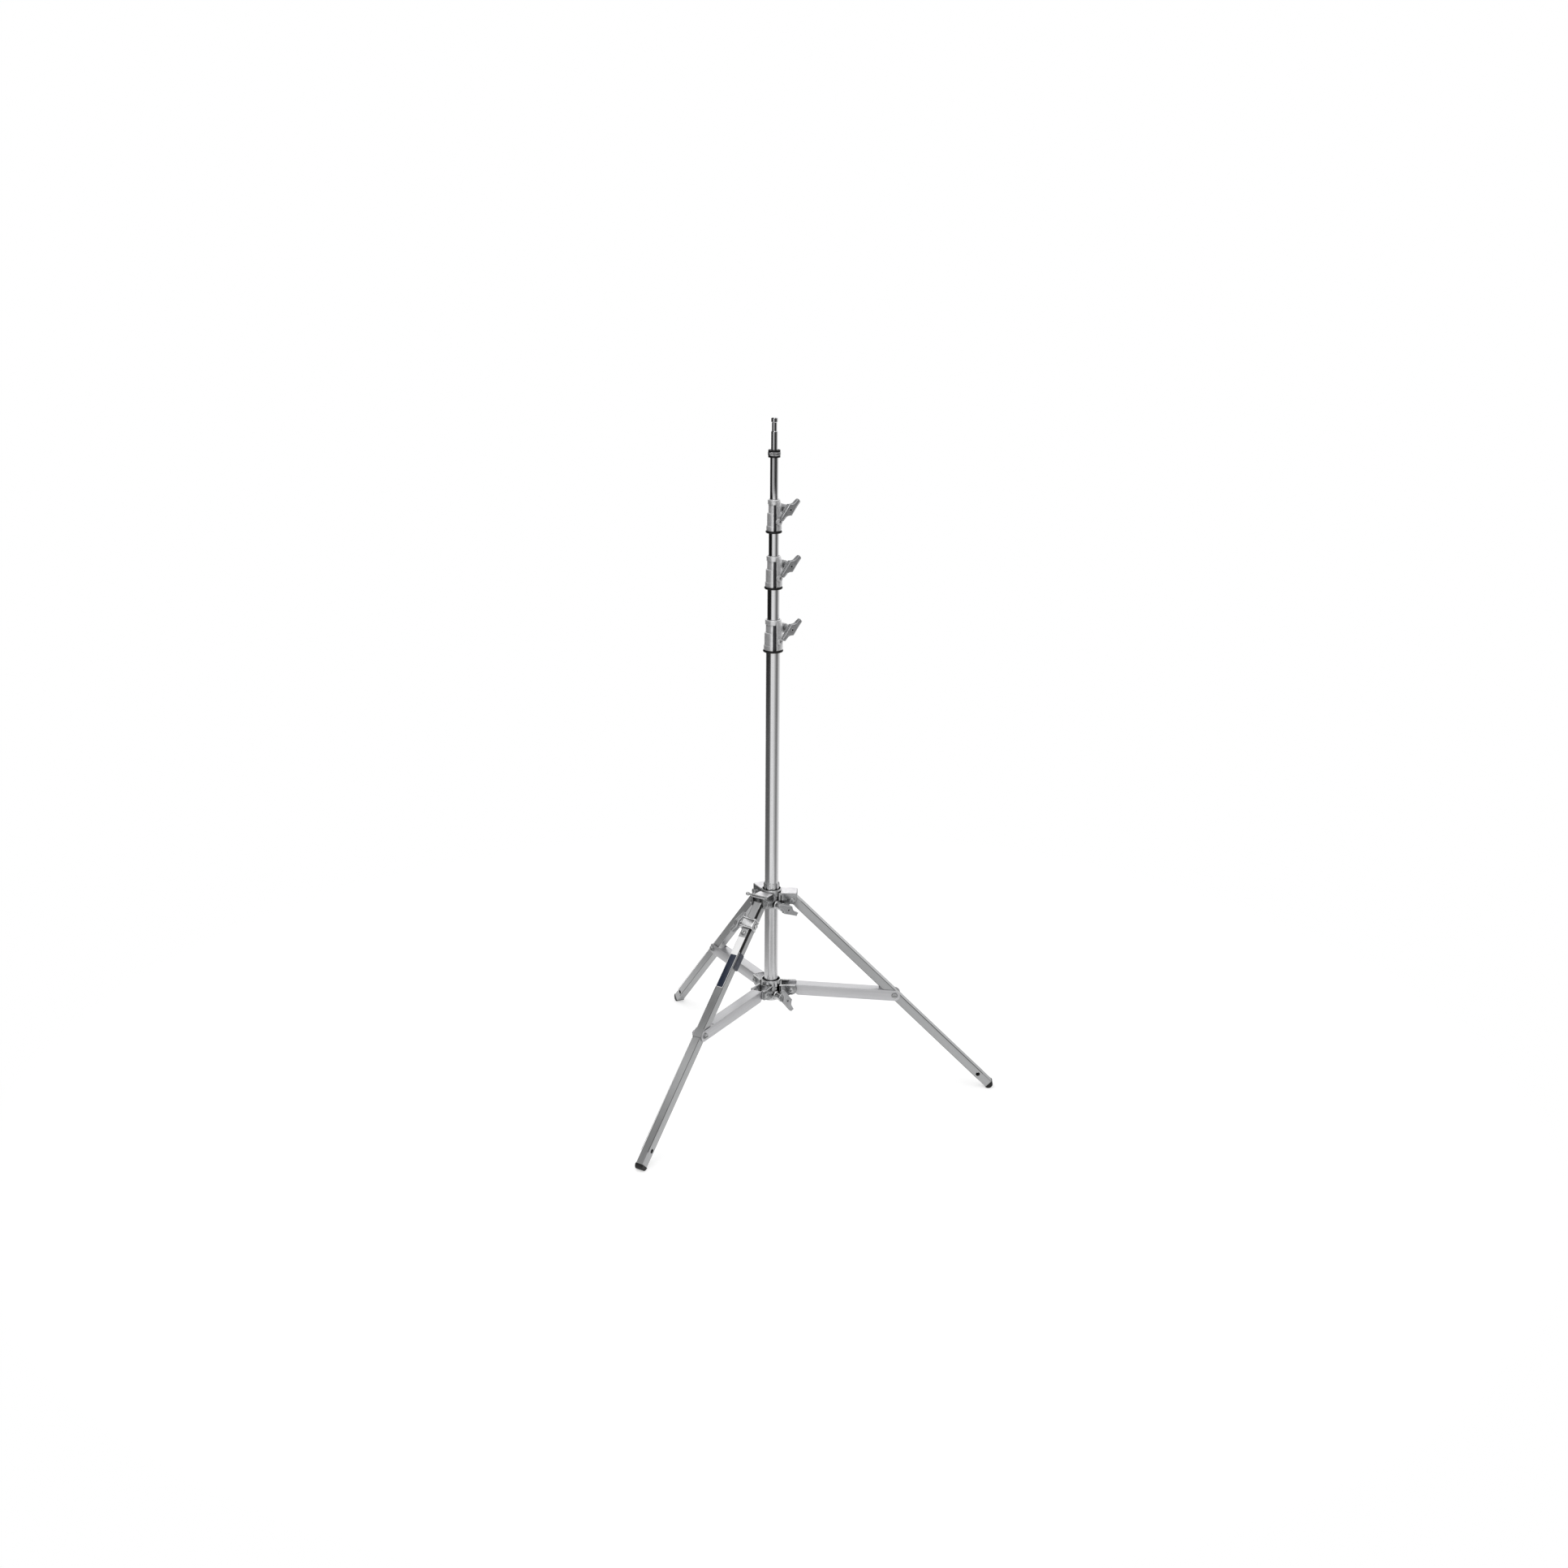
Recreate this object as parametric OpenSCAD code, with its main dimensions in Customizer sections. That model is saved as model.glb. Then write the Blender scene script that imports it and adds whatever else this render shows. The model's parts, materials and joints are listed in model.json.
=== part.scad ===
// Lighting stand with a double-braced tripod base, three clamped risers and one levelling leg.
// Millimetres, +Z up. The origin is the floor point under the column axis.
// Leg A points along +X, leg C to 120 degrees and the levelling leg F to 240 degrees.

/* [Column and risers] */
// Outside diameter of the column tube
col_d = 35; // [32:0.5:40]
// Step in outside diameter from each tube to the next one inside it
tube_step = 5; // [4.6:0.1:6]
// Wall of the column and of each riser
tube_wall = 1.5; // [1:0.1:1.6]
// Length of the column below the brace pivots
col_below = 26; // [24:1:60]
// Height of the underside of the lowest lock above the floor
lock_1_z = 1168; // [1050:1:1400]
// Length of the first riser that shows between its locks
riser_1_out = 76; // [20:1:300]
// Length of the second riser that shows between its locks
riser_2_out = 56; // [20:1:300]
// Length of the third riser that shows above its lock
riser_3_out = 101; // [20:1:300]
// Height of the foot of a fully lowered riser above the foot of the column
riser_short = 38; // [30:1:120]

/* [Locks] */
// Height of a lock casting with its bumper ring
lock_h = 82; // [80:1:90]
// Thickness of the rubber bumper ring under a lock
bumper_h = 6; // [4:0.5:8]
// Diameter of the clamp screws
screw_d = 10; // [8:0.5:10]
// Direction in which the clamp ears point, in degrees from leg A
ear_az = 39; // [30:1:45]

/* [Spigot] */
// Diameter of the top spigot
spigot_d = 16; // [15.8:0.1:16.2]
// Length of the spigot above its collar
spigot_len = 77; // [70:1:90]
// Diameter of the collar under the spigot
spigot_collar_d = 31; // [28:0.5:34]

/* [Tripod base] */
// Distance of the leg and brace pivots from the column axis
pivot_r = 54; // [52:0.5:60]
// Height of the brace pivots above the floor
lower_pivot_z = 270; // [262:1:285]
// Distance between the leg pivots and the brace pivots, which sets the spread
spread_h = 251; // [230:1:290]
// Length of a leg from its top pivot to the brace pivot
leg_upper = 375; // [340:1:420]
// Length of a brace between its pivots
brace_len = 268; // [240:1:300]
// Width of the square leg tube
leg_w = 22; // [20:0.5:24]
// Wall of the leg tube
leg_wall = 1.5; // [1:0.1:2.5]
// Sheet thickness of the braces and of the levelling channel
sheet = 2; // [1.5:0.1:2.5]
// Diameter of the pivot bolts
bolt_d = 8; // [6:0.5:9]
// Thickness of a clevis plate on the hubs
plate_t = 4.3; // [3:0.1:6]
// Distance of the hole for a caster pin from the end of the leg
caster_hole_up = 40; // [36:1:60]
// Diameter of the hole for a caster pin
caster_hole_d = 11; // [8:0.5:13]

/* [Levelling leg] */
// Length of the channel below the leg pivot
channel_len = 145; // [130:1:180]
// Length of the plastic guide at the lower end of the channel
guide_len = 43; // [25:1:60]
// Distance of the clamp from the leg pivot
level_clamp_at = 65; // [62:1:75]
// Length of the clamp along the leg
level_clamp_len = 30; // [26:1:34]
// Distance of the plain label from the leg pivot
label_from = 105; // [95:1:120]
// Length of the plain label on the leg
label_len = 142; // [60:1:160]

/* [Handles] */
// Length of a clamp handle from tip to tip
handle_len = 68; // [60:1:80]
// Thickness of a clamp handle
handle_t = 12; // [8:0.5:14]

/* [Hidden] */
$fn = 64;
NODES = [
    "lower_hub", "lower_hub_rivets", "lower_hub_screw", "lower_hub_handle",
    "column_tube", "column_end_plug",
    "lock_1_casting", "lock_1_guide", "lock_1_bumper", "lock_1_nut", "lock_1_screw", "lock_1_handle",
    "riser_1_tube", "riser_1_bush",
    "lock_2_casting", "lock_2_guide", "lock_2_bumper", "lock_2_nut", "lock_2_screw", "lock_2_handle",
    "riser_2_tube", "riser_2_bush",
    "lock_3_casting", "lock_3_guide", "lock_3_bumper", "lock_3_nut", "lock_3_screw", "lock_3_handle",
    "riser_3_tube", "riser_3_bush", "spigot", "spigot_collar", "spigot_rings",
    "upper_hub", "upper_hub_bolts", "leg_spacers", "upper_hub_screw", "upper_hub_handle",
    "brace_a", "brace_a_bolt", "leg_a_tube", "leg_a_foot",
    "brace_c", "brace_c_bolt", "leg_c_tube", "leg_c_foot",
    "brace_f", "brace_f_bolt", "leg_f_tube", "leg_f_foot", "leg_f_label", "level_saddle",
    "level_channel", "level_guide", "level_clamp", "level_screw", "level_handle"
];
node = "all";

// Clearances: parts that slide past each other, running fits, seats inside one body, stacked heads
slide_gap = 0.3;
fit_gap = 0.1;
seat_gap = 0.1;
head_gap = 0.3;
cut = 1;

// Azimuths of the three legs and of the hub clamps
az_a = 0;
az_c = 120;
az_f = 240;
hub_clamp_az = -50;

// Tubes from the outside in: index 0 is the column, 1 to 3 are the risers
tube_r = [for (i = [0 : 3]) col_d / 2 - i * tube_step / 2];
socket_depth = 40;
socket_play = 0.5;
col_bottom = lower_pivot_z - col_below;
riser_len = lock_1_z + lock_h + bumper_h + socket_depth - col_bottom - riser_short;
bush_len = 40;
bush_floor = 4;
bush_vent_r = 4;
plug_len = 22;
plug_flange = 4;

// Height of the underside of lock n, and of the top end of tube i
function lock_z(n) = lock_1_z + (n - 1) * lock_h + (n > 1 ? riser_1_out : 0) + (n > 2 ? riser_2_out : 0);
spigot_z = lock_z(3) + lock_h + riser_3_out;
function tube_top(i) = i == 3 ? spigot_z : lock_z(i + 1) + bumper_h + socket_depth;
function tube_bottom(i) = i == 0 ? col_bottom : tube_top(i) - riser_len;

// Lock casting: radii grow with the tube that it sits on
band_r = 4;
flange_r = 5.8;
bumper_r = 7.6;
neck_r = 0.8;
lip_r = 2.6;
flange_h = 11.5;
band_h = 31.5;
lip_h = 12;
lip_edge = 2;
guide_wall = 1.1;
guide_seat = 1;
ear_half = 9;
ear_slot = 2.4;
ear_x = 12.5;
ear_end_r = 11;
ear_root = 4;
clamp_up = 58;
boss_az = -41;
boss_r = 9;
boss_hole_r = 3;
boss_hole_depth = 5;
boss_up = 29;
boss_out = 1.5;

// Spigot: a collar between two rings sits on its thicker root
ring_h = 4.5;
collar_h = 8.5;
rings_h = 2 * ring_h + collar_h;
ring_inset = 0.8;
spigot_step = 0.8;
spigot_root_r = spigot_d / 2 + spigot_step;
spigot_lip = 10;
spigot_waist = 23;
spigot_waist_r = 6.4;
spigot_stub = 38;
spigot_edge = 1.5;

// Tripod linkage: brace and leg angles follow from the spread
upper_pivot_z = lower_pivot_z + spread_h;
brace_rise = (pow(brace_len, 2) + pow(spread_h, 2) - pow(leg_upper, 2)) / (2 * spread_h);
brace_tilt = asin(brace_rise / brace_len);
leg_tilt = atan2(brace_len * cos(brace_tilt), spread_h - brace_len * sin(brace_tilt));
foot_over = 0.3;
foot_r = leg_w / 2 + foot_over;
leg_len = (upper_pivot_z - foot_r) / cos(leg_tilt);
leg_top = 10;
leg_corner = 2.5;
foot_plug = 24;

// Brace and channel section: the leg nests inside the channel with play on both sides
nest_play = 1;
nest_floor = 0.5;
nest_half = leg_w / 2 + nest_play;
brace_half = nest_half + sheet;
web_in = leg_w / 2 + nest_floor;
web_out = web_in + sheet;
brace_low = -9;
brace_corner = 2.5;
web_start = 12;

// The web stops short of the leg that leans over it
knee = 90 - leg_tilt + brace_tilt;
web_end_room = 10.5;
web_end_cut = web_out / tan(knee) + leg_w / 2 / sin(knee) + web_end_room;

// Hubs
plate_gap = 0.6;
plate_in = brace_half + plate_gap;
plate_out = plate_in + plate_t;
plate_r = 14;
plate_under = -80;
hub_bore_r = col_d / 2 + slide_gap;
hub_wall = 7;
hub_r = hub_bore_r + hub_wall;
hub_low = -26;
lower_cup = 5;
hub_high = 24;
hub_edge = 4;
hub_neck_wall = 3.5;
hub_neck_r = hub_bore_r + hub_neck_wall;
hub_neck_top = 40;
hub_boss_r = 10;
hub_boss_end = 50;
hub_boss_z = -15;
hub_web_back = 12;
hub_web_z = 15.5;
hub_web_t = 4;
clevis_root = 2;
clevis_back = 3;
bolt_r = bolt_d / 2;
bolt_head_r = 7;
bolt_head_h = 6;
bolt_bite = 1;
washer_r = 9;
washer_t = 1.5;
spacer_gap = 0.6;

// Screws and handles
screw_r = screw_d / 2;
screw_recess = 3;
handle_boss_r = 8.5;
handle_mid_r = 13;
handle_arm_half = 4.5;
handle_tip_r = 6;
handle_flare = 50;
handle_arm_from = 17;
handle_hole_r = 3.2;
handle_clear = 2;
tip_gap = 0.4;
nut_h = 7;
nut_r = 9;
screw_past_nut = 2;
hub_handle_stand = 10;

// Handle angles about their own screws, as the stand is drawn
lock_handle_turn = 39;
upper_handle_turn = 57;
lower_handle_turn = 26;
level_handle_turn = 109;

// Levelling channel and clamp
channel_high = 4;
leg_f_top = -4;
saddle_in = leg_w / 2 + slide_gap;
saddle_out = nest_half - fit_gap;
saddle_len = leg_w;
clamp_cheek = 4;
clamp_cheek_low = -8;
clamp_cover = 4;
clamp_boss_r = 8.5;
clamp_boss_len = 9;
label_t = 0.3;
label_glue = 0.05;
label_edge = 1.5;
label_w = leg_w - 2 * label_edge;
level_handle_in = brace_half + clamp_cheek + clamp_boss_len;

chrome = [0.78, 0.79, 0.80];
satin = [0.66, 0.67, 0.68];
cast = [0.74, 0.75, 0.75];
zinc = [0.60, 0.61, 0.62];
black = [0.06, 0.06, 0.065];
nylon = [0.15, 0.15, 0.16];
label_white = [0.92, 0.92, 0.92];

// Points of an arc from one angle to another
function arc(centre, r, from, to, steps = 10) = [
    for (i = [0 : steps])
        let (angle = from + (to - from) * i / steps)
            centre + r * [cos(angle), sin(angle)]
];

// Outline of a square with round corners, centred
function soft_square(half, r) = [
    for (k = [0 : 3])
        let (corner = (half - r) * sqrt(2) * [cos(90 * k + 45), sin(90 * k + 45)])
            each arc(corner, r, 90 * k, 90 * k + 90, 5)
];

module tube(r, wall, from, to) {
    translate([0, 0, from])
        difference() {
            cylinder(r = r, h = to - from);
            translate([0, 0, -cut]) cylinder(r = r - wall, h = to - from + 2 * cut);
        }
}

// A plain pin along Y between two distances from the leg's middle plane
module cross_pin(r, from, to) {
    translate([0, to, 0]) rotate([90, 0, 0]) cylinder(r = r, h = to - from);
}

// Frame of a leg: origin at its top pivot, -Z down the leg, +X outwards
module on_leg(az) {
    rotate([0, 0, az]) translate([pivot_r, 0, upper_pivot_z]) rotate([0, -leg_tilt, 0]) children();
}

// Frame of a brace: origin at its hub pivot, +X along the brace, +Z on its web side
module on_brace(az) {
    rotate([0, 0, az]) translate([pivot_r, 0, lower_pivot_z]) rotate([0, -brace_tilt, 0]) children();
}

// Frame of a clamp screw of lock n: +Z out along the screw, +Y up, +X away from the tube
module on_lock_screw(n) {
    rotate([0, 0, ear_az])
        translate([tube_r[n - 1] + ear_x, 0, lock_z(n) + clamp_up])
            rotate([90, 0, 0]) children();
}

// Frame of a hub clamp screw at a height: +Z out along the screw, +X down
module on_hub_screw(z) {
    rotate([0, 0, hub_clamp_az]) translate([0, 0, z + hub_boss_z]) rotate([0, 90, 0]) children();
}

// Frame of the levelling clamp screw: +Z out of the side of the leg, +Y up the leg
module on_level_screw() {
    on_leg(az_f) translate([0, 0, -level_clamp_at]) rotate([90, 0, 0]) children();
}

// Clamp handle: a lozenge with two arms, its inner face at height z, with a boss down to from_z
module handle(z, from_z, turn) {
    tip_x = handle_len / 2 - handle_tip_r;
    arm_x = tip_x - handle_arm_from + handle_tip_r;
    right_half = concat(
        [handle_mid_r * [cos(handle_flare), -sin(handle_flare)]],
        [[arm_x, -handle_arm_half]],
        arc([tip_x, 0], handle_tip_r, -120, 120),
        [[arm_x, handle_arm_half]],
        arc([0, 0], handle_mid_r, handle_flare, 90, 4)
    );
    left_half = [for (p = right_half) [-p[0], -p[1]]];
    color(cast) rotate([0, 0, turn])
        difference() {
            union() {
                translate([0, 0, z]) linear_extrude(handle_t) polygon(concat(right_half, left_half));
                translate([0, 0, from_z]) cylinder(r = handle_boss_r, h = z + handle_t / 2 - from_z);
            }
            translate([0, 0, from_z - cut])
                cylinder(r = screw_r + seat_gap, h = z + handle_t - screw_recess - from_z + cut);
            translate([0, 0, z]) cylinder(r = handle_hole_r, h = handle_t + cut);
        }
}

// Clamp screw from a depth to just under the recess of a handle whose inner face is at height z
module screw(from, z) {
    top = z + handle_t - screw_recess - seat_gap;
    color(zinc) translate([0, 0, from]) cylinder(r = screw_r, h = top - from);
}

// Locks

function casting_bore(n) = tube_r[n] + fit_gap + guide_wall + seat_gap;
function lock_handle_z(n) = tube_r[n - 1] + bumper_r + handle_clear;

module lock_casting(n) {
    r = tube_r[n - 1];
    band_top = flange_h + band_h + bumper_h;
    lip = r + lip_r;
    boss_end = r + flange_r + boss_out;
    color(cast) translate([0, 0, lock_z(n)])
        difference() {
            union() {
                rotate_extrude()
                    polygon([
                        [0, bumper_h], [r + flange_r, bumper_h], [r + flange_r, bumper_h + flange_h],
                        [r + band_r, bumper_h + flange_h], [r + band_r, band_top],
                        [r + neck_r, band_top], [r + neck_r, lock_h - lip_h],
                        [lip, lock_h - lip_h], [lip, lock_h - lip_edge],
                        [lip - lip_edge, lock_h], [0, lock_h]
                    ]);
                lock_ears(n);
                translate([0, 0, boss_up]) rotate([0, 90, boss_az]) cylinder(r = boss_r, h = boss_end);
            }
            translate([0, 0, -cut])
                cylinder(r = r + seat_gap, h = bumper_h + socket_depth + socket_play + cut);
            cylinder(r = casting_bore(n), h = lock_h + cut);
            translate([0, 0, boss_up]) rotate([0, 90, boss_az])
                translate([0, 0, boss_end - boss_hole_depth])
                    cylinder(r = boss_hole_r, h = boss_hole_depth + cut);
            rotate([0, 0, ear_az]) {
                translate([0, -ear_slot / 2, band_top])
                    cube([r + ear_x + ear_end_r + cut, ear_slot, lock_h]);
                translate([r + ear_x, 0, clamp_up])
                    cross_pin(screw_r + fit_gap, -ear_half - cut, ear_half + cut);
            }
        }
}

// Two clamp ears on one side of a lock, drawn as one block that the slot divides
module lock_ears(n) {
    r = tube_r[n - 1];
    rotate([0, 0, ear_az]) translate([0, ear_half, 0]) rotate([90, 0, 0])
        linear_extrude(2 * ear_half)
            polygon(concat(
                [[r, clamp_up - ear_end_r - ear_root]],
                arc([r + ear_x, clamp_up], ear_end_r, -90, 90),
                [[r, clamp_up + ear_end_r + ear_root]]
            ));
}

module lock_guide(n) {
    z = lock_z(n);
    from = z + bumper_h + socket_depth + guide_seat;
    color(nylon) tube(tube_r[n] + fit_gap + guide_wall, guide_wall, from, z + lock_h);
}

module lock_bumper(n) {
    r = tube_r[n - 1];
    half = bumper_h / 2;
    color(black) translate([0, 0, lock_z(n)])
        rotate_extrude()
            polygon(concat(
                [[r + seat_gap, 0]],
                arc([r + bumper_r - half, half], half, -90, 90, 8),
                [[r + seat_gap, bumper_h]]
            ));
}

module lock_nut(n) {
    color(zinc) on_lock_screw(n)
        translate([0, 0, -ear_half - nut_h])
            difference() {
                cylinder(r = nut_r, h = nut_h, $fn = 6);
                translate([0, 0, -cut]) cylinder(r = screw_r + fit_gap, h = nut_h + 2 * cut);
            }
}

module lock_screw(n) {
    on_lock_screw(n) screw(-ear_half - nut_h - screw_past_nut, lock_handle_z(n));
}

module lock_handle(n) {
    on_lock_screw(n) handle(lock_handle_z(n), ear_half + tip_gap, lock_handle_turn);
}

// Column and risers

module column_tube() {
    color(chrome) tube(tube_r[0], tube_wall, tube_bottom(0), tube_top(0));
}

module column_end_plug() {
    color(black) {
        translate([0, 0, col_bottom]) cylinder(r = tube_r[0] - tube_wall - seat_gap, h = plug_len);
        translate([0, 0, col_bottom - plug_flange]) cylinder(r = tube_r[0], h = plug_flange);
    }
}

module riser_tube(i) {
    color(chrome) tube(tube_r[i], tube_wall, tube_bottom(i), tube_top(i));
}

// Guide cup at the foot of riser i, running inside the tube around it
module riser_bush(i) {
    r = tube_r[i - 1] - tube_wall - fit_gap;
    z = tube_bottom(i) - bush_floor;
    color(nylon)
        difference() {
            translate([0, 0, z]) cylinder(r = r, h = bush_len);
            translate([0, 0, z + bush_floor]) cylinder(r = tube_r[i] + seat_gap, h = bush_len);
            translate([0, 0, z - cut]) cylinder(r = bush_vent_r, h = bush_len);
        }
}

module spigot() {
    r = spigot_d / 2;
    top = rings_h + spigot_len;
    shoulder = top - spigot_lip - spigot_waist;
    stub_r = tube_r[3] - tube_wall - seat_gap;
    color(chrome) translate([0, 0, spigot_z])
        rotate_extrude()
            polygon([
                [0, -spigot_stub], [stub_r, -spigot_stub], [stub_r, 0],
                [spigot_root_r, 0], [spigot_root_r, rings_h],
                [r, rings_h], [r, shoulder], [spigot_waist_r, shoulder + spigot_edge],
                [spigot_waist_r, top - spigot_lip - spigot_edge], [r, top - spigot_lip],
                [r, top - spigot_edge], [r - spigot_edge, top], [0, top]
            ]);
}

module spigot_collar() {
    r = spigot_collar_d / 2;
    color(chrome)
        tube(r, r - spigot_root_r - seat_gap, spigot_z + ring_h, spigot_z + ring_h + collar_h);
}

module spigot_rings() {
    r = spigot_collar_d / 2 - ring_inset;
    color(black)
        for (z = [0, ring_h + collar_h])
            tube(r, r - spigot_root_r - seat_gap, spigot_z + z, spigot_z + z + ring_h);
}

// Hubs

// One pair of clevis plates, the pivot at x = pivot_r and z = 0
module clevis(web) {
    root_x = hub_bore_r + clevis_root;
    low = hub_low + hub_edge;
    high = hub_high - hub_edge;
    for (side = [-1, 1])
        translate([0, side > 0 ? plate_out : -plate_in, 0]) rotate([90, 0, 0])
            linear_extrude(plate_t)
                polygon(concat(
                    [[root_x, low]], arc([pivot_r, 0], plate_r, plate_under, 90), [[root_x, high]]
                ));
    if (web)
        translate([root_x, -plate_out, hub_web_z])
            cube([pivot_r - hub_web_back - root_x, 2 * plate_out, hub_web_t]);
    translate([root_x, -plate_out, low])
        cube([hub_r - root_x + clevis_back, 2 * plate_out, high - low]);
}

// Hub casting: a sleeve from a depth to the top of its neck, with three clevises and a clamp boss
module hub(z, web, low, neck_top) {
    color(cast) translate([0, 0, z])
        difference() {
            union() {
                translate([0, 0, low]) cylinder(r = hub_r, h = hub_high - low);
                cylinder(r = hub_neck_r, h = neck_top);
                for (az = [az_a, az_c, az_f])
                    rotate([0, 0, az]) clevis(web);
                translate([0, 0, hub_boss_z]) rotate([0, 90, hub_clamp_az])
                    cylinder(r = hub_boss_r, h = hub_boss_end);
            }
            translate([0, 0, low - cut]) cylinder(r = hub_bore_r, h = neck_top - low + 2 * cut);
            translate([0, 0, hub_boss_z]) rotate([0, 90, hub_clamp_az])
                cylinder(r = screw_r + fit_gap, h = hub_boss_end + cut);
            for (az = [az_a, az_c, az_f])
                rotate([0, 0, az]) translate([pivot_r, 0, 0])
                    cross_pin(bolt_r + fit_gap, -plate_out - cut, plate_out + cut);
        }
}

module lower_hub() {
    hub(lower_pivot_z, false, hub_low - lower_cup, hub_high);
}

module upper_hub() {
    hub(upper_pivot_z, true, hub_low, hub_neck_top);
}

module hub_screw(z) {
    on_hub_screw(z) screw(hub_bore_r, hub_boss_end + hub_handle_stand);
}

module hub_handle(z, turn) {
    on_hub_screw(z) handle(hub_boss_end + hub_handle_stand, hub_boss_end + tip_gap, turn);
}

// A short pivot rivet on each side of a brace, flush inside so that the folded leg can pass
module brace_rivets(az) {
    color(zinc) rotate([0, 0, az]) translate([pivot_r, 0, lower_pivot_z])
        for (side = [0, 180])
            rotate([0, 0, side])
                union() {
                    cross_pin(bolt_r, nest_half, plate_out + head_gap + bolt_head_h);
                    cross_pin(bolt_head_r, plate_out + head_gap, plate_out + head_gap + bolt_head_h);
                }
}

module lower_hub_rivets() {
    for (az = [az_a, az_c, az_f])
        brace_rivets(az);
}

// Half width of what a clevis of the upper hub holds: the levelling channel or a plain leg
function held_half(az) = az == az_f ? brace_half : leg_w / 2;

// Half bolts on both sides of each leg top
module upper_hub_bolts() {
    color(zinc)
        for (az = [az_a, az_c, az_f], side = [0, 180])
            rotate([0, 0, az]) translate([pivot_r, 0, upper_pivot_z]) rotate([0, 0, side])
                union() {
                    cross_pin(bolt_r, held_half(az) + head_gap, plate_out + bolt_bite);
                    cross_pin(washer_r, plate_out, plate_out + washer_t);
                    cross_pin(bolt_head_r, plate_out + bolt_bite, plate_out + washer_t + bolt_head_h);
                }
}

// Washers that fill the clevis beside the two plain legs
module leg_spacers() {
    inner = leg_w / 2 + spacer_gap;
    color(nylon)
        for (az = [az_a, az_c], side = [0, 180])
            rotate([0, 0, az]) translate([pivot_r, 0, upper_pivot_z]) rotate([0, 0, side])
                difference() {
                    cross_pin(washer_r, inner, plate_in);
                    cross_pin(bolt_r + seat_gap, inner - cut, plate_in + cut);
                }
}

// Braces

// Section of the brace: an inverted channel with round outer corners, drawn across Y and Z
module channel_section(low, high) {
    difference() {
        polygon(concat(
            [[-brace_half, low]],
            [[brace_half, low]],
            arc([brace_half - brace_corner, high - brace_corner], brace_corner, 0, 90, 5),
            arc([-brace_half + brace_corner, high - brace_corner], brace_corner, 90, 180, 5)
        ));
        translate([-nest_half, low - cut]) square([2 * nest_half, high - sheet - low + cut]);
    }
}

module brace(az) {
    mid = (web_out + brace_low) / 2;
    end_r = (web_out - brace_low) / 2;
    color(satin) on_brace(az)
        difference() {
            intersection() {
                translate([-end_r - cut, 0, 0]) rotate([90, 0, 90])
                    linear_extrude(brace_len + 2 * end_r + 2 * cut) channel_section(brace_low, web_out);
                translate([0, brace_half + cut, 0]) rotate([90, 0, 0])
                    linear_extrude(2 * brace_half + 2 * cut)
                        polygon(concat(
                            arc([0, mid], end_r, 90, 270, 12), arc([brace_len, mid], end_r, -90, 90, 12)
                        ));
            }
            translate([-end_r - 2 * cut, -nest_half, web_in - cut])
                cube([end_r + 2 * cut + web_start, 2 * nest_half, sheet + 2 * cut]);
            translate([brace_len - web_end_cut, -nest_half, web_in - cut])
                cube([web_end_cut + end_r + 2 * cut, 2 * nest_half, sheet + 2 * cut]);
            for (x = [0, brace_len])
                translate([x, 0, 0]) cross_pin(bolt_r + fit_gap, -brace_half - cut, brace_half + cut);
        }
}

// Bolt between a brace and its leg: it runs through a plain leg, and ends in the levelling leg's saddle
module brace_bolt(az) {
    end = brace_half + head_gap;
    color(zinc) on_brace(az) translate([brace_len, 0, 0])
        difference() {
            union() {
                cross_pin(bolt_r, -end - bolt_bite, end + bolt_bite);
                cross_pin(bolt_head_r, end, end + bolt_head_h);
                cross_pin(bolt_head_r, -end - bolt_head_h, -end);
            }
            if (az == az_f)
                cube([leg_w, 2 * saddle_in, leg_w], center = true);
        }
}

// Legs

module leg_tube(az, top) {
    color(satin) on_leg(az)
        difference() {
            translate([0, 0, -leg_len]) linear_extrude(leg_len + top)
                difference() {
                    polygon(soft_square(leg_w / 2, leg_corner));
                    polygon(soft_square(leg_w / 2 - leg_wall, leg_corner - leg_wall / 2));
                }
            if (top > 0)
                for (z = [0, -leg_upper])
                    translate([0, 0, z]) cross_pin(bolt_r + fit_gap, -leg_w, leg_w);
            translate([0, 0, caster_hole_up - leg_len]) cross_pin(caster_hole_d / 2, -leg_w, leg_w);
        }
}

// Foot: a half-round end with a plug inside the tube
module leg_foot(az) {
    plug_half = leg_w / 2 - leg_wall - seat_gap;
    color(black) on_leg(az) translate([0, 0, -leg_len]) {
        difference() {
            cross_pin(foot_r, -foot_r, foot_r);
            translate([-2 * foot_r, -2 * foot_r, 0]) cube(4 * foot_r);
        }
        linear_extrude(foot_plug) polygon(soft_square(plug_half, leg_corner - leg_wall / 2));
    }
}

module leg_f_label() {
    color(label_white) on_leg(az_f)
        translate([leg_w / 2 + label_glue, -label_w / 2, -label_from - label_len]) cube([label_t, label_w, label_len]);
}

// Levelling leg

// Channel that hangs from the hub and holds the sliding leg, open on the outside
module level_channel() {
    end_r = (web_out + channel_high) / 2;
    end_x = (channel_high - web_out) / 2;
    color(satin) on_leg(az_f)
        difference() {
            intersection() {
                translate([0, 0, -channel_len]) rotate([0, 0, 90])
                    linear_extrude(channel_len + 2 * leg_top) channel_section(-channel_high, web_out);
                translate([0, brace_half + cut, 0]) rotate([90, 0, 0])
                    linear_extrude(2 * brace_half + 2 * cut)
                        polygon(concat(
                            [[-web_out, -channel_len - cut], [channel_high, -channel_len - cut]],
                            arc([end_x, 0], end_r, 0, 180, 12)
                        ));
            }
            cross_pin(bolt_r + fit_gap, -brace_half - cut, brace_half + cut);
            translate([0, 0, -level_clamp_at]) cross_pin(screw_r + slide_gap, -brace_half - cut, 0);
        }
}

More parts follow.
